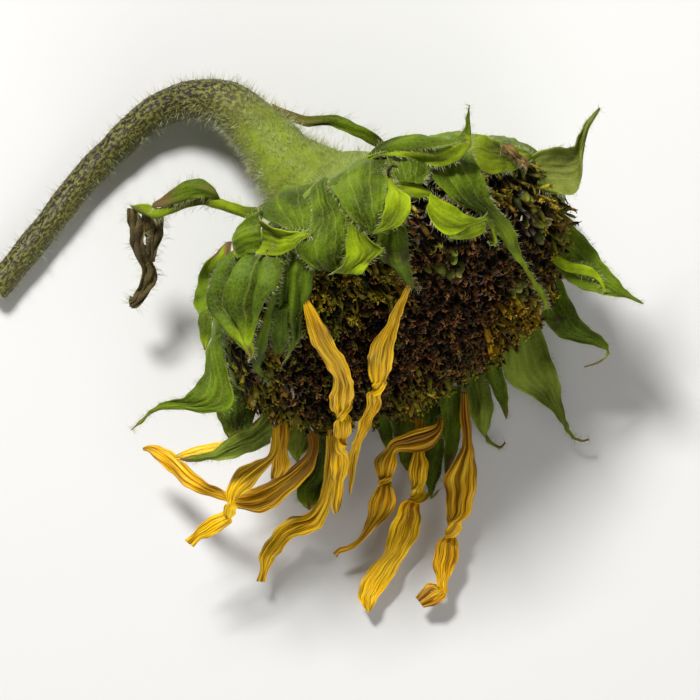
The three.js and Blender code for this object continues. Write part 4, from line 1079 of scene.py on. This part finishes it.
class SunflowerSizes(bpy.types.PropertyGroup):
    """Sizes in millimetres and counts."""
    bract_thickness: bpy.props.FloatProperty(name="Bract thickness", default=0.55, min=0.2, max=1.2,
                                             description="Thickness of a bract in mm")
    ray_thickness: bpy.props.FloatProperty(name="Ray floret thickness", default=0.32, min=0.1, max=1.0,
                                           description="Thickness of a ray floret in mm")
    stem_hair: bpy.props.FloatProperty(name="Stem hair length", default=3.2, min=0.5, max=5,
                                       description="Length of the stem's hairs in mm")
    bract_hair: bpy.props.FloatProperty(name="Bract hair length", default=1.0, min=0.2, max=3,
                                        description="Length of the bracts' hairs in mm")
    florets: bpy.props.IntProperty(name="Disc florets", default=2400, min=200, max=4000,
                                   description="How many florets the disc holds")
    light_power: bpy.props.FloatProperty(name="Key light", default=35, min=1, max=500, unit="POWER",
                                         description="Power of the main studio light")


SKIN_SAMPLES = []


def looks_of(colours):
    """For each look its tint, where drying starts and ends along the blade, and how dry tip and root get."""
    never = (1.1, 1.3, 0, 0)
    looks = {
        "outer": (colours.outer, 0.82, 0.9, 1, 0), "inner": (colours.inner, *never),
        "bright": (colours.bright, *never), "dusty": (colours.dusty, *never), "ripe": (colours.ripe, *never),
        "pale": (colours.pale, 0.84, 0.9, 1, 0), "hooked": (colours.outer, 0.97, 1.02, 0.7, 0),
        "deep": (colours.deep, 0.9, 0.97, 1, 0), "dry": (colours.dry_light, 0, 0.1, 0.8, 0),
        "husk": (colours.husk, -1, 0, 0.3, 0), "char": (colours.char, *never),
        "stalk": (colours.inner, 0.86, 1.1, 0.8, 0), "lobe": (colours.outer, 0.6, 0.95, 0.9, 0.5),
        "wilting": (colours.outer, 0.9, 1.0, 1, 0.8), "gold": (colours.ray, 0.93, 1.03, 0.7, 0.4),
        "rusty": (colours.ray_deep, 0.9, 1.0, 0.7, 0.8),
    }
    return {name: (srgb(tint), *drying) for name, (tint, *drying) in looks.items()}


# ------------------------------------------------------------------ stage
SENSOR_MM = 36
VIEW_DISTANCE = 2.0   # m from the lens to the middle of the part's height
VIEW_WIDTH = 0.21     # m across the picture at that distance
CAMERA_HEIGHT = 2.06  # m
FLOOR_PAPER = "#d4d3d1"
ROOM_LIGHT = "#fffdf9"
# soft lights: name, place and size in m, share of the set light power
LIGHTS = (("key", (-0.45, 1.0, 1.3), 0.32, 1.15), ("fill", (0.9, -0.7, 1.1), 1.2, 0.16),
          ("low", (0.35, -1.3, 0.8), 1.0, 0.2))
LIGHTS_AIM = Vector((0, 0, 0.05))


class SUNFLOWER_OT_camera(bpy.types.Operator):
    """Adds a long-lens camera that looks straight down"""
    bl_idname = "sunflower.camera"
    bl_label = "Camera"

    def execute(self, context):
        data = bpy.data.cameras.new("camera")
        data.lens, data.sensor_width = SENSOR_MM * VIEW_DISTANCE / VIEW_WIDTH, SENSOR_MM
        data.clip_start, data.clip_end = 0.1, 20
        camera = bpy.data.objects.new("camera", data)
        camera.location = (ORIGIN[0] / MM_PER_M, ORIGIN[1] / MM_PER_M, CAMERA_HEIGHT)
        context.scene.collection.objects.link(camera)
        context.scene.camera = camera
        return {"FINISHED"}


class SUNFLOWER_OT_stage(bpy.types.Operator):
    """Adds the pale floor and the soft studio lights"""
    bl_idname = "sunflower.stage"
    bl_label = "Floor and lights"

    def execute(self, context):
        bpy.ops.mesh.primitive_plane_add(size=8, location=(0, 0, -0.0002))
        floor = context.active_object
        floor.name = "floor"
        material, _, shader = new_material("matt_paper_floor", 0.9)
        shader.inputs["Base Color"].default_value = rgba(FLOOR_PAPER)
        floor.data.materials.append(material)
        power = context.scene.sunflower_sizes.light_power
        for name, place, size, share in LIGHTS:
            data = bpy.data.lights.new(name, "AREA")
            data.size, data.energy = size, power * share
            light = bpy.data.objects.new(name, data)
            light.location = place
            light.rotation_euler = (LIGHTS_AIM - Vector(place)).to_track_quat("-Z", "Y").to_euler()
            context.scene.collection.objects.link(light)
        world = bpy.data.worlds.new("soft_room")
        world.use_nodes = True
        background = world.node_tree.nodes["Background"]
        background.inputs["Color"].default_value = rgba(ROOM_LIGHT)
        background.inputs["Strength"].default_value = 0.14
        context.scene.world = world
        context.scene.view_settings.view_transform = "Standard"
        return {"FINISHED"}


# ----------------------------------------------------------------- pieces
STEM_RINGS = 90
STEM_SIDES = 40
HEAD_SIDES = 96
DISC_SIDES = 120
STEM_STEPS = 400     # places along the stem's centre line that a skin point can belong to
NECK = 0.2           # share of those places, from the head on, that is the neck
GOLDEN_ANGLE = 2.399963
FLORET_SHAPES = 10   # different shapes made of each kind of floret


def lathe_points(profile, sides):
    """Rings about the head's axis from distance and radius pairs."""
    turn = np.linspace(0, 2 * math.pi, sides, endpoint=False)
    rings = [RIM_CENTRE + d * AXIS + r * (np.cos(turn)[:, None] * ACROSS + np.sin(turn)[:, None] * UPHILL)
             for d, r in profile]
    return np.vstack(rings)


def tube_faces(rings, sides):
    """Faces of a tube of rings that is closed at both ends."""
    faces = [(i * sides + j, i * sides + (j + 1) % sides,
              (i + 1) * sides + (j + 1) % sides, (i + 1) * sides + j)
             for i in range(rings - 1) for j in range(sides)]
    return faces + [tuple(range(sides))[::-1], tuple(range((rings - 1) * sides, rings * sides))]


def stem_tube():
    """Points of the rings round the stem's centre line."""
    path = spline(STEM, np.linspace(0, len(STEM) - 1, STEM_RINGS))
    along = unit(np.gradient(path[:, :3], axis=0))
    side = unit(np.cross(along, np.array([0, 0, 1.0])))
    over = np.cross(side, along)
    turn = np.linspace(0, 2 * math.pi, STEM_SIDES, endpoint=False)
    out = np.cos(turn)[None, :, None] * side[:, None] + np.sin(turn)[None, :, None] * over[:, None]
    return (path[:, None, :3] + path[:, None, 3:4] * out).reshape(-1, 3)


def grown_body(context):
    """The stem and the back of the head, run together into one body: points, normals and faces."""
    tube = stem_tube()
    back = [(-0.3, 0.5), (-0.3, 57.2)] + [(-d, r) for d, r in BACK[1:]]
    faces = tube_faces(STEM_RINGS, STEM_SIDES)
    faces += [tuple(i + len(tube) for i in face) for face in tube_faces(len(back), HEAD_SIDES)]
    mesh = bpy.data.meshes.new("grown")
    mesh.from_pydata(np.vstack([tube, lathe_points(back, HEAD_SIDES)]).tolist(), [], faces)
    grown = bpy.data.objects.new("grown", mesh)
    context.scene.collection.objects.link(grown)
    for kind, settings in (("REMESH", {"mode": "VOXEL", "voxel_size": 0.8}),
                           ("SMOOTH", {"iterations": 10, "factor": 0.5})):
        modifier = grown.modifiers.new(kind, kind)
        for key, value in settings.items():
            setattr(modifier, key, value)
    done = grown.evaluated_get(context.evaluated_depsgraph_get()).to_mesh()
    points = np.array([v.co for v in done.vertices])
    normals = np.array([v.normal for v in done.vertices])
    polygons = [tuple(p.vertices) for p in done.polygons]
    bpy.data.objects.remove(grown)
    return points, normals, polygons


def nearest_places(points, centres):
    """For each point, which of the places along the stem is nearest, in batches to spare memory."""
    nearest = np.empty(len(points), dtype=int)
    batch = 4000
    for start in range(0, len(points), batch):
        gap = np.linalg.norm(points[start:start + batch, None] - centres[None], axis=2)
        nearest[start:start + batch] = gap.argmin(1)
    return nearest


def bract_bases(points, behind):
    """Height of the overlapping bract bases that scale the back of the head."""
    offset = points - RIM_CENTRE
    turn = np.arctan2(offset @ UPHILL, offset @ ACROSS) / (2 * math.pi)
    height = np.zeros(len(points))
    for row in range(4):
        u = (turn * (15 - row) + 0.5 * row + 0.13 * row ** 2) % 1 - 0.5
        depth = -2.5 - 6 * row - 8 * np.abs(2 * u) ** 1.5 - behind
        height += 0.9 * smooth_step(0, 1.0, depth) * np.exp(-np.maximum(depth, 0) / 6)
    return height * smooth_step(-34, -22, behind)


class SUNFLOWER_OT_stem(bpy.types.Operator):
    """Builds the stem, the neck and the back of the head as one grown piece, with its hairs"""
    bl_idname = "sunflower.stem"
    bl_label = "Stem and receptacle"

    def execute(self, context):
        colours, sizes = context.scene.sunflower_colours, context.scene.sunflower_sizes
        rng = np.random.default_rng(7)
        points, normals, polygons = grown_body(context)
        centres = spline(STEM, np.linspace(0, len(STEM) - 1, STEM_STEPS))[:, :3]
        nearest = nearest_places(points, centres)
        far = nearest / (STEM_STEPS - 1)
        x, y, z = points.T
        ridges = (0.12 * np.sin(x * 1.9 + 0.6 * y) * np.sin(y * 1.7 - z)
                  + 0.2 * np.sin(x / 3 + 1) * np.sin(z / 2.5 + y / 4))
        behind = (points - RIM_CENTRE) @ AXIS
        lobes = bract_bases(points, behind)
        points = points + normals * (ridges + lobes)[:, None]
        points[:, 2] = np.maximum(points[:, 2], 0.05)

        aged = smooth_step(0.18, 0.42, far)[:, None]
        tint = (1 - aged) * srgb(colours.neck) + aged * srgb(colours.stem)
        leafy = (smooth_step(-30, -6, behind) * (far < NECK))[:, None]
        # painted highlight on the bract bases at the back of the head: lighter where they stand up most, so
        # the troughs between them read as painted shade
        tint = (1 - leafy) * tint + leafy * srgb(colours.outer) * (1 + 0.5 * np.clip(lobes, 0, 1))[:, None]
        away = points - centres[nearest]
        bend_side = unit(centres[nearest] - np.array([-45, 35, 10.0]))
        outside = (unit(away) * bend_side).sum(1)
        blotched = np.clip(smooth_step(0.2, 0.5, far) * (0.9 + 0.35 * outside), 0, 1)
        end = np.array(STEM[-1][:3])
        cut = ((points - end) @ unit(end - np.array(STEM[-2][:3]))) > -0.7
        tint = np.where(cut[:, None], srgb(CUT_FACE), tint)
        blotched = np.where(cut, 0.0, blotched)

        sideways = np.cross(unit(np.gradient(centres, axis=0)), [0, 0, 1])[nearest]
        around = np.arctan2((away * sideways).sum(1), away[:, 2])
        run = np.concatenate([[0], np.cumsum(np.linalg.norm(np.diff(centres, axis=0), axis=1))])
        coords = np.stack([run[nearest] / BLADE_UV_MM, around / (2 * math.pi) + 0.5], 1)
        shell = Shell()
        shell.add(points, polygons, coords, tint, blotched)
        place_piece("stem_and_receptacle", shell, stem_skin(colours), ["stem_and_receptacle"])
        self.hairs(colours, sizes, points, normals, far, cut, rng)
        return {"FINISHED"}

    def hairs(self, colours, sizes, points, normals, far, cut, rng):
        """Stiff hairs, thickest on the neck and the bend."""
        behind = (points - RIM_CENTRE) @ AXIS
        weight = np.where(far < 0.02, 0.25, 0.5 + 0.9 * smooth_step(0.75, 0.15, far))
        weight[(behind > -20) & (far < NECK)] *= 0.2
        weight[(behind > -2) & (far < NECK) | cut | (points[:, 2] < 0.7)] = 0
        weight /= weight.sum()
        for name, count, length, radius in (("stem_hairs_long", 4200, sizes.stem_hair * 1.1, 0.05),
                                            ("stem_hairs_short", 4200, sizes.stem_hair * 0.5, 0.04)):
            pick = rng.choice(len(points), count, p=weight)
            shell = Shell()
            roots = points[pick] + rng.normal(0, 0.3, (len(pick), 3)) - 0.2 * normals[pick]
            add_hairs(shell, roots, normals[pick] + np.array([0, 0, 0.1]), length, radius, rng)
            place_piece(name, shell, hair_skin("stiff_" + name, colours.hair), [])


class SUNFLOWER_OT_bracts(bpy.types.Operator):
    """Builds the bracts round the head"""
    bl_idname = "sunflower.bracts"
    bl_label = "Bracts"

    def execute(self, context):
        colours, sizes = context.scene.sunflower_colours, context.scene.sunflower_sizes
        skin = leaf_skin("fresh_bract_skin", colours)
        SKIN_SAMPLES.extend(build_blades(BRACTS, 0, skin, bract_relief, sizes.bract_thickness,
                                         looks_of(colours), at_head=True))
        return {"FINISHED"}


class SUNFLOWER_OT_stem_leaves(bpy.types.Operator):
    """Builds the two withered leaves on the neck"""
    bl_idname = "sunflower.stem_leaves"
    bl_label = "Stem leaves"

    def execute(self, context):
        colours, sizes = context.scene.sunflower_colours, context.scene.sunflower_sizes
        skin = leaf_skin("withered_leaf_skin", colours)
        SKIN_SAMPLES.extend(build_blades(STEM_LEAVES, 60, skin, bract_relief,
                                         sizes.bract_thickness, looks_of(colours)))
        return {"FINISHED"}


class SUNFLOWER_OT_ray_florets(bpy.types.Operator):
    """Builds the drooping, twisted yellow ray florets"""
    bl_idname = "sunflower.ray_florets"
    bl_label = "Ray florets"

    def execute(self, context):
        colours, sizes = context.scene.sunflower_colours, context.scene.sunflower_sizes
        build_blades(RAY_FLORETS, 80, ray_skin(colours), ray_relief, sizes.ray_thickness,
                     looks_of(colours), hollow_shade=0.9)
        return {"FINISHED"}


class SUNFLOWER_OT_bract_hairs(bpy.types.Operator):
    """Builds the short hairs on the faces and margins of the bracts and leaves"""
    bl_idname = "sunflower.bract_hairs"
    bl_label = "Bract hairs"

    def execute(self, context):
        colours, sizes = context.scene.sunflower_colours, context.scene.sunflower_sizes
        rng = np.random.default_rng(11)
        face, margin = Shell(), Shell()
        for points, normals, look in SKIN_SAMPLES:
            nu, ns = points.shape[:2]
            if look not in ("inner", "bright", "dry"):
                n = nu * ns // 20
                i, j = rng.integers(0, nu, n), rng.integers(0, ns, n)
                up = normals[i, j] * np.where(normals[i, j][:, 2:3] < 0, -1, 1)
                tangent = unit(np.gradient(points, axis=0)[i, j])
                add_hairs(face, points[i, j] + 0.2 * up, 0.5 * up + tangent, sizes.bract_hair * 1.1, 0.022,
                          rng, 0.05)
            long = 1.8 if look in ("stalk", "lobe", "wilting", "husk") else 1.0
            n = int(nu * (2.6))
            i, j = rng.integers(0, nu, n), rng.choice([0, ns - 1], n)
            away = unit(points[i, j] - points[i, ns // 2]) + 0.4 * unit(np.gradient(points, axis=0)[i, j])
            add_hairs(margin, points[i, j], away, sizes.bract_hair * 1.9 * long, 0.045, rng, 0.1)
        place_piece("bract_face_hairs", face, hair_skin("short_bract_hair", colours.down), [])
        place_piece("bract_margin_hairs", margin, hair_skin("margin_hair", colours.hair), [])
        return {"FINISHED"}


def dome_frame(points_2d):
    """Places on the dome from disc coordinates (1 at the rim): point, outward normal, radial direction."""
    rho = np.linalg.norm(points_2d, axis=1)
    radial = (points_2d[:, 0:1] * ACROSS + points_2d[:, 1:2] * UPHILL) / np.maximum(rho, 1e-6)[:, None]
    height = (DISC_HEIGHT - 5) * np.sqrt(np.clip(1 - rho ** 2, 0, 1)) - 1
    r = (DISC_RADIUS - 1.5) * rho
    spot = RIM_CENTRE + r[:, None] * radial + height[:, None] * AXIS
    normal = unit(0.6 * rho[:, None] / DISC_RADIUS * radial + 1 / DISC_HEIGHT * AXIS)
    return spot, normal, radial, rho


def add_tube(points, faces, dark, rings, bend, sides=5, flat=1.0):
    """A bent tube: rings are height, radius and how dark in painted shade; it ends closed."""
    start = len(points)
    top = rings[-1][0]
    for z, r, shade in rings:
        for j in range(sides):
            a = 2 * math.pi * j / sides
            shift = (z / top) ** 2
            points.append((r * math.cos(a) + bend[0] * shift, flat * r * math.sin(a) + bend[1] * shift, z))
            dark.append(shade)
    faces.extend((start + i * sides + j, start + i * sides + (j + 1) % sides,
                  start + (i + 1) * sides + (j + 1) % sides, start + (i + 1) * sides + j)
                 for i in range(len(rings) - 1) for j in range(sides))
    faces.append(tuple(range(start + sides * (len(rings) - 1), start + sides * len(rings))))


def add_curl(points, faces, dark, root, turn, length, width, rise, drop=1.1):
    """A narrow pointed tooth, three-sided, that rises and curls over outwards."""
    start = len(points)
    out = np.array([math.cos(turn), math.sin(turn), 0.0])
    side = np.array([-math.sin(turn), math.cos(turn), 0.0])
    for k in range(4):
        t = k / 3
        climb = rise * math.sin(2.2 * t) + 0.5 * t - drop * t ** 3
        centre = np.array(root) + out * (0.2 + length * t) + np.array([0, 0, climb])
        half = width * (1 - 0.7 * t ** 1.5)
        points += [tuple(centre - half * side), tuple(centre + half * side),
                   tuple(centre - np.array([0, 0, 0.5 * half]))]
        # painted shade: a little at the root of the tooth, more along its underside
        dark += [0.1 * (1 - t), 0.1 * (1 - t), 0.7]
    for k in range(3):
        a = start + 3 * k
        faces += [(a, a + 3, a + 4, a + 1), (a + 1, a + 4, a + 5, a + 2), (a + 2, a + 5, a + 3, a)]
    faces += [(start, start + 1, start + 2), (start + 11, start + 10, start + 9)]


def withered_floret(rng):
    """One shrivelled floret, root at 0: a bristle of a tube, darkened with painted shade towards its root,
    with small curled teeth and a style.
    """
    points, faces, dark = [], [], []
    bend = rng.normal(0, 0.5, 2)
    add_tube(points, faces, dark, ((0, 0.5, 1), (2.6, 0.4, 0.85), (4.2, 0.55, 0.35)), bend)
    turn = rng.uniform(0, TURN)
    for k in range(3):
        add_curl(points, faces, dark, (*bend, 4.1), turn + rng.normal(0, 0.7) + 1.3 * k,
                 rng.uniform(0.6, 1.5), rng.uniform(0.26, 0.42), rng.uniform(-0.2, 0.9))
    add_curl(points, faces, dark, (*bend, 4.3), turn + rng.normal(0, 1), rng.uniform(1.3, 2.2), 0.2,
             rng.uniform(0.2, 1.0))
    return np.array(points), faces, np.array(dark)


def long_floret(rng):
    """One longer floret from the edge of the disc: a slim, flattened tube that ends in pointed teeth."""
    points, faces, dark = [], [], []
    bend = rng.normal(0, 1.1, 2)
    # the third figure of each ring is painted shade, full at the root and none at the mouth
    rings = ((0, 0.45, 1), (2.2, 0.6, 0.5), (4.6, 0.95, 0.1), (6.2, 0.8, 0.0))
    add_tube(points, faces, dark, rings, bend, 6, 0.6)
    for k in range(4):
        add_curl(points, faces, dark, (*bend, 6.0), 1.57 * k + rng.normal(0, 0.3), rng.uniform(0.6, 1.5), 0.4,
                 rng.uniform(0.6, 1.8), 0.4)
    return np.array(points), faces, np.array(dark)


def plump_ovary(_rng):
    """One rounded, flattened ovary. All are alike, so it draws nothing."""
    turn = np.linspace(0, 2 * math.pi, 10, endpoint=False)
    points = [(0, 0, 0)]
    for t in (0.18, 0.4, 0.65, 0.86):
        r = math.sin(math.pi * t) ** 0.7
        points += [(1.55 * r * math.cos(a), 1.1 * r * math.sin(a), 5 * t) for a in turn]
    points.append((0, 0, 5))
    faces = [(0, 1 + (j + 1) % 10, 1 + j) for j in range(10)]
    faces += [(1 + 10 * i + j, 1 + 10 * i + (j + 1) % 10, 11 + 10 * i + (j + 1) % 10, 11 + 10 * i + j)
              for i in range(3) for j in range(10)]
    faces += [(31 + j, 31 + (j + 1) % 10, 41) for j in range(10)]
    # painted shade, deepest at the root
    return np.array(points), faces, np.linspace(0.7, 0.0, len(points))


def chaff_scale(rng):
    """One papery, pointed chaff scale."""
    points, faces, dark = [], [], []
    add_curl(points, faces, dark, (0, 0, 1.0), 0.0, rng.uniform(3.5, 6), 0.7, rng.uniform(1.0, 3.0))
    return np.array(points), faces, np.array(dark)


def stand_up(shell, shape, spots, normals, radial, lean, scale, tints, rng):
    """Copies one shape on to many places: each leans outwards by lean and turns at random."""
    points, faces, dark = shape
    n, m = len(spots), len(points)
    up = unit(normals + lean[:, None] * radial + rng.normal(0, 0.14, (n, 3)))
    east = unit(np.cross(up, rng.normal(0, 1, (n, 3))))
    north = np.cross(up, east)
    placed = (spots[:, None] + scale[:, None, None] * (points[None, :, 0:1] * east[:, None]
              + points[None, :, 1:2] * north[:, None] + points[None, :, 2:3] * up[:, None])).reshape(-1, 3)
    all_faces = [tuple(m * i + k for k in face) for i in range(n) for face in faces]
    # the shape's painted shade goes into the "dry" attribute
    shell.add(placed, all_faces, None, np.repeat(tints, m, axis=0), np.tile(dark, n))


class SUNFLOWER_OT_disc(bpy.types.Operator):
    """Builds the seed disc: the dome and the florets, ovaries and chaff that stand on it"""
    bl_idname = "sunflower.disc"
    bl_label = "Seed disc"

    def execute(self, context):
        rng = np.random.default_rng(3)
        rise = DISC_HEIGHT - 4.6
        profile = [(-1, DISC_RADIUS - 2)]
        profile += [(rise * math.sin(a), (DISC_RADIUS - 2.5) * math.cos(a)) for a in np.linspace(0, 1.54, 26)]
        dome = Shell()
        dome.add(lathe_points(profile, DISC_SIDES), tube_faces(len(profile), DISC_SIDES))
        place_piece("seed_disc", dome, dome_skin(), ["seed_disc"])
        n = context.scene.sunflower_sizes.florets
        k = np.arange(n) + 0.5
        angle = k * GOLDEN_ANGLE
        flat = (np.sqrt(k / n) * 1.02)[:, None] * np.stack([np.cos(angle), np.sin(angle)], 1)
        flat += rng.normal(0, 0.007, flat.shape)
        spots, normals, radial, rho = dome_frame(flat)
        kinds = self.kinds(spots, rho, rng)
        skin = floret_skin()
        shapes = {"brown": withered_floret, "olive": withered_floret, "long": long_floret,
                  "yellow": long_floret, "ovary": plump_ovary, "chaff": chaff_scale}
        outer_kinds = ("olive", "long", "yellow", "ovary", "chaff")
        for name, members in (("brown_disc_florets", ("brown",)), ("outer_disc_florets", outer_kinds)):
            shell = Shell()
            for kind in members:
                chosen = np.flatnonzero(kinds == kind)
                groups = rng.integers(0, FLORET_SHAPES, len(chosen))
                for group in range(FLORET_SHAPES):
                    pick = chosen[groups == group]
                    if not len(pick):
                        continue
                    lean = (-0.15 + 0.3 * rng.normal(0, 1, len(pick))) * rho[pick]
                    shape = shapes[kind](rng)
                    scale = rng.uniform(0.8, 1.2, len(pick)) * (1 - 0.35 * smooth_step(0.86, 1, rho[pick]))
                    stand_up(shell, shape, spots[pick], normals[pick], radial[pick], lean, scale,
                             self.tints(kind, len(pick), rng), rng)
            place_piece(name, shell, skin, [])
        return {"FINISHED"}

    def kinds(self, spots, rho, rng):
        """Which kind of floret stands at each place."""
        chance = rng.uniform(0, 1, len(spots))
        kinds = np.full(len(spots), "brown", dtype=object)
        kinds[chance < 0.2 + 0.55 * smooth_step(0.45, 0.85, rho)] = "olive"
        kinds[(chance < 0.7) & (rho > 0.84)] = "long"
        for kind, x, y, reach, share in FLORET_PATCHES:
            near = np.linalg.norm(spots[:, :2] - np.array([x, y]), axis=1) < reach
            kinds[near & (rng.uniform(0, 1, len(spots)) < share)] = kind
        return kinds

    def tints(self, kind, count, rng):
        """One tint for each floret of a kind."""
        palette = np.array([srgb(c) for c in FLORET_TINTS[kind]])
        drawn = palette[rng.integers(0, len(palette), count)]
        return drawn * rng.uniform(0.4, 1.3, (count, 1)) ** 2 * (0.8 if kind == "brown" else 0.95)


class SUNFLOWER_PT_panel(bpy.types.Panel):
    """Lists the steps in building order"""
    bl_label = "Sunflower seed head"
    bl_idname = "SUNFLOWER_PT_panel"
    bl_space_type = "VIEW_3D"
    bl_region_type = "UI"
    bl_category = "Sunflower"

    def draw(self, context):
        for operator in STEPS:
            self.layout.operator(operator.bl_idname)


STEPS = (SUNFLOWER_OT_camera, SUNFLOWER_OT_stage, SUNFLOWER_OT_stem, SUNFLOWER_OT_disc, SUNFLOWER_OT_bracts,
         SUNFLOWER_OT_stem_leaves, SUNFLOWER_OT_ray_florets, SUNFLOWER_OT_bract_hairs)
CLASSES = (SunflowerColours, SunflowerSizes) + STEPS + (SUNFLOWER_PT_panel,)


def register():
    for cls in CLASSES:
        bpy.utils.register_class(cls)
    bpy.types.Scene.sunflower_colours = bpy.props.PointerProperty(type=SunflowerColours)
    bpy.types.Scene.sunflower_sizes = bpy.props.PointerProperty(type=SunflowerSizes)


def unregister():
    del bpy.types.Scene.sunflower_colours
    del bpy.types.Scene.sunflower_sizes
    for cls in reversed(CLASSES):
        bpy.utils.unregister_class(cls)


def main():
    register()
    for step in STEPS:
        group, name = step.bl_idname.split(".")
        getattr(getattr(bpy.ops, group), name)()


if __name__ == "__main__":
    main()
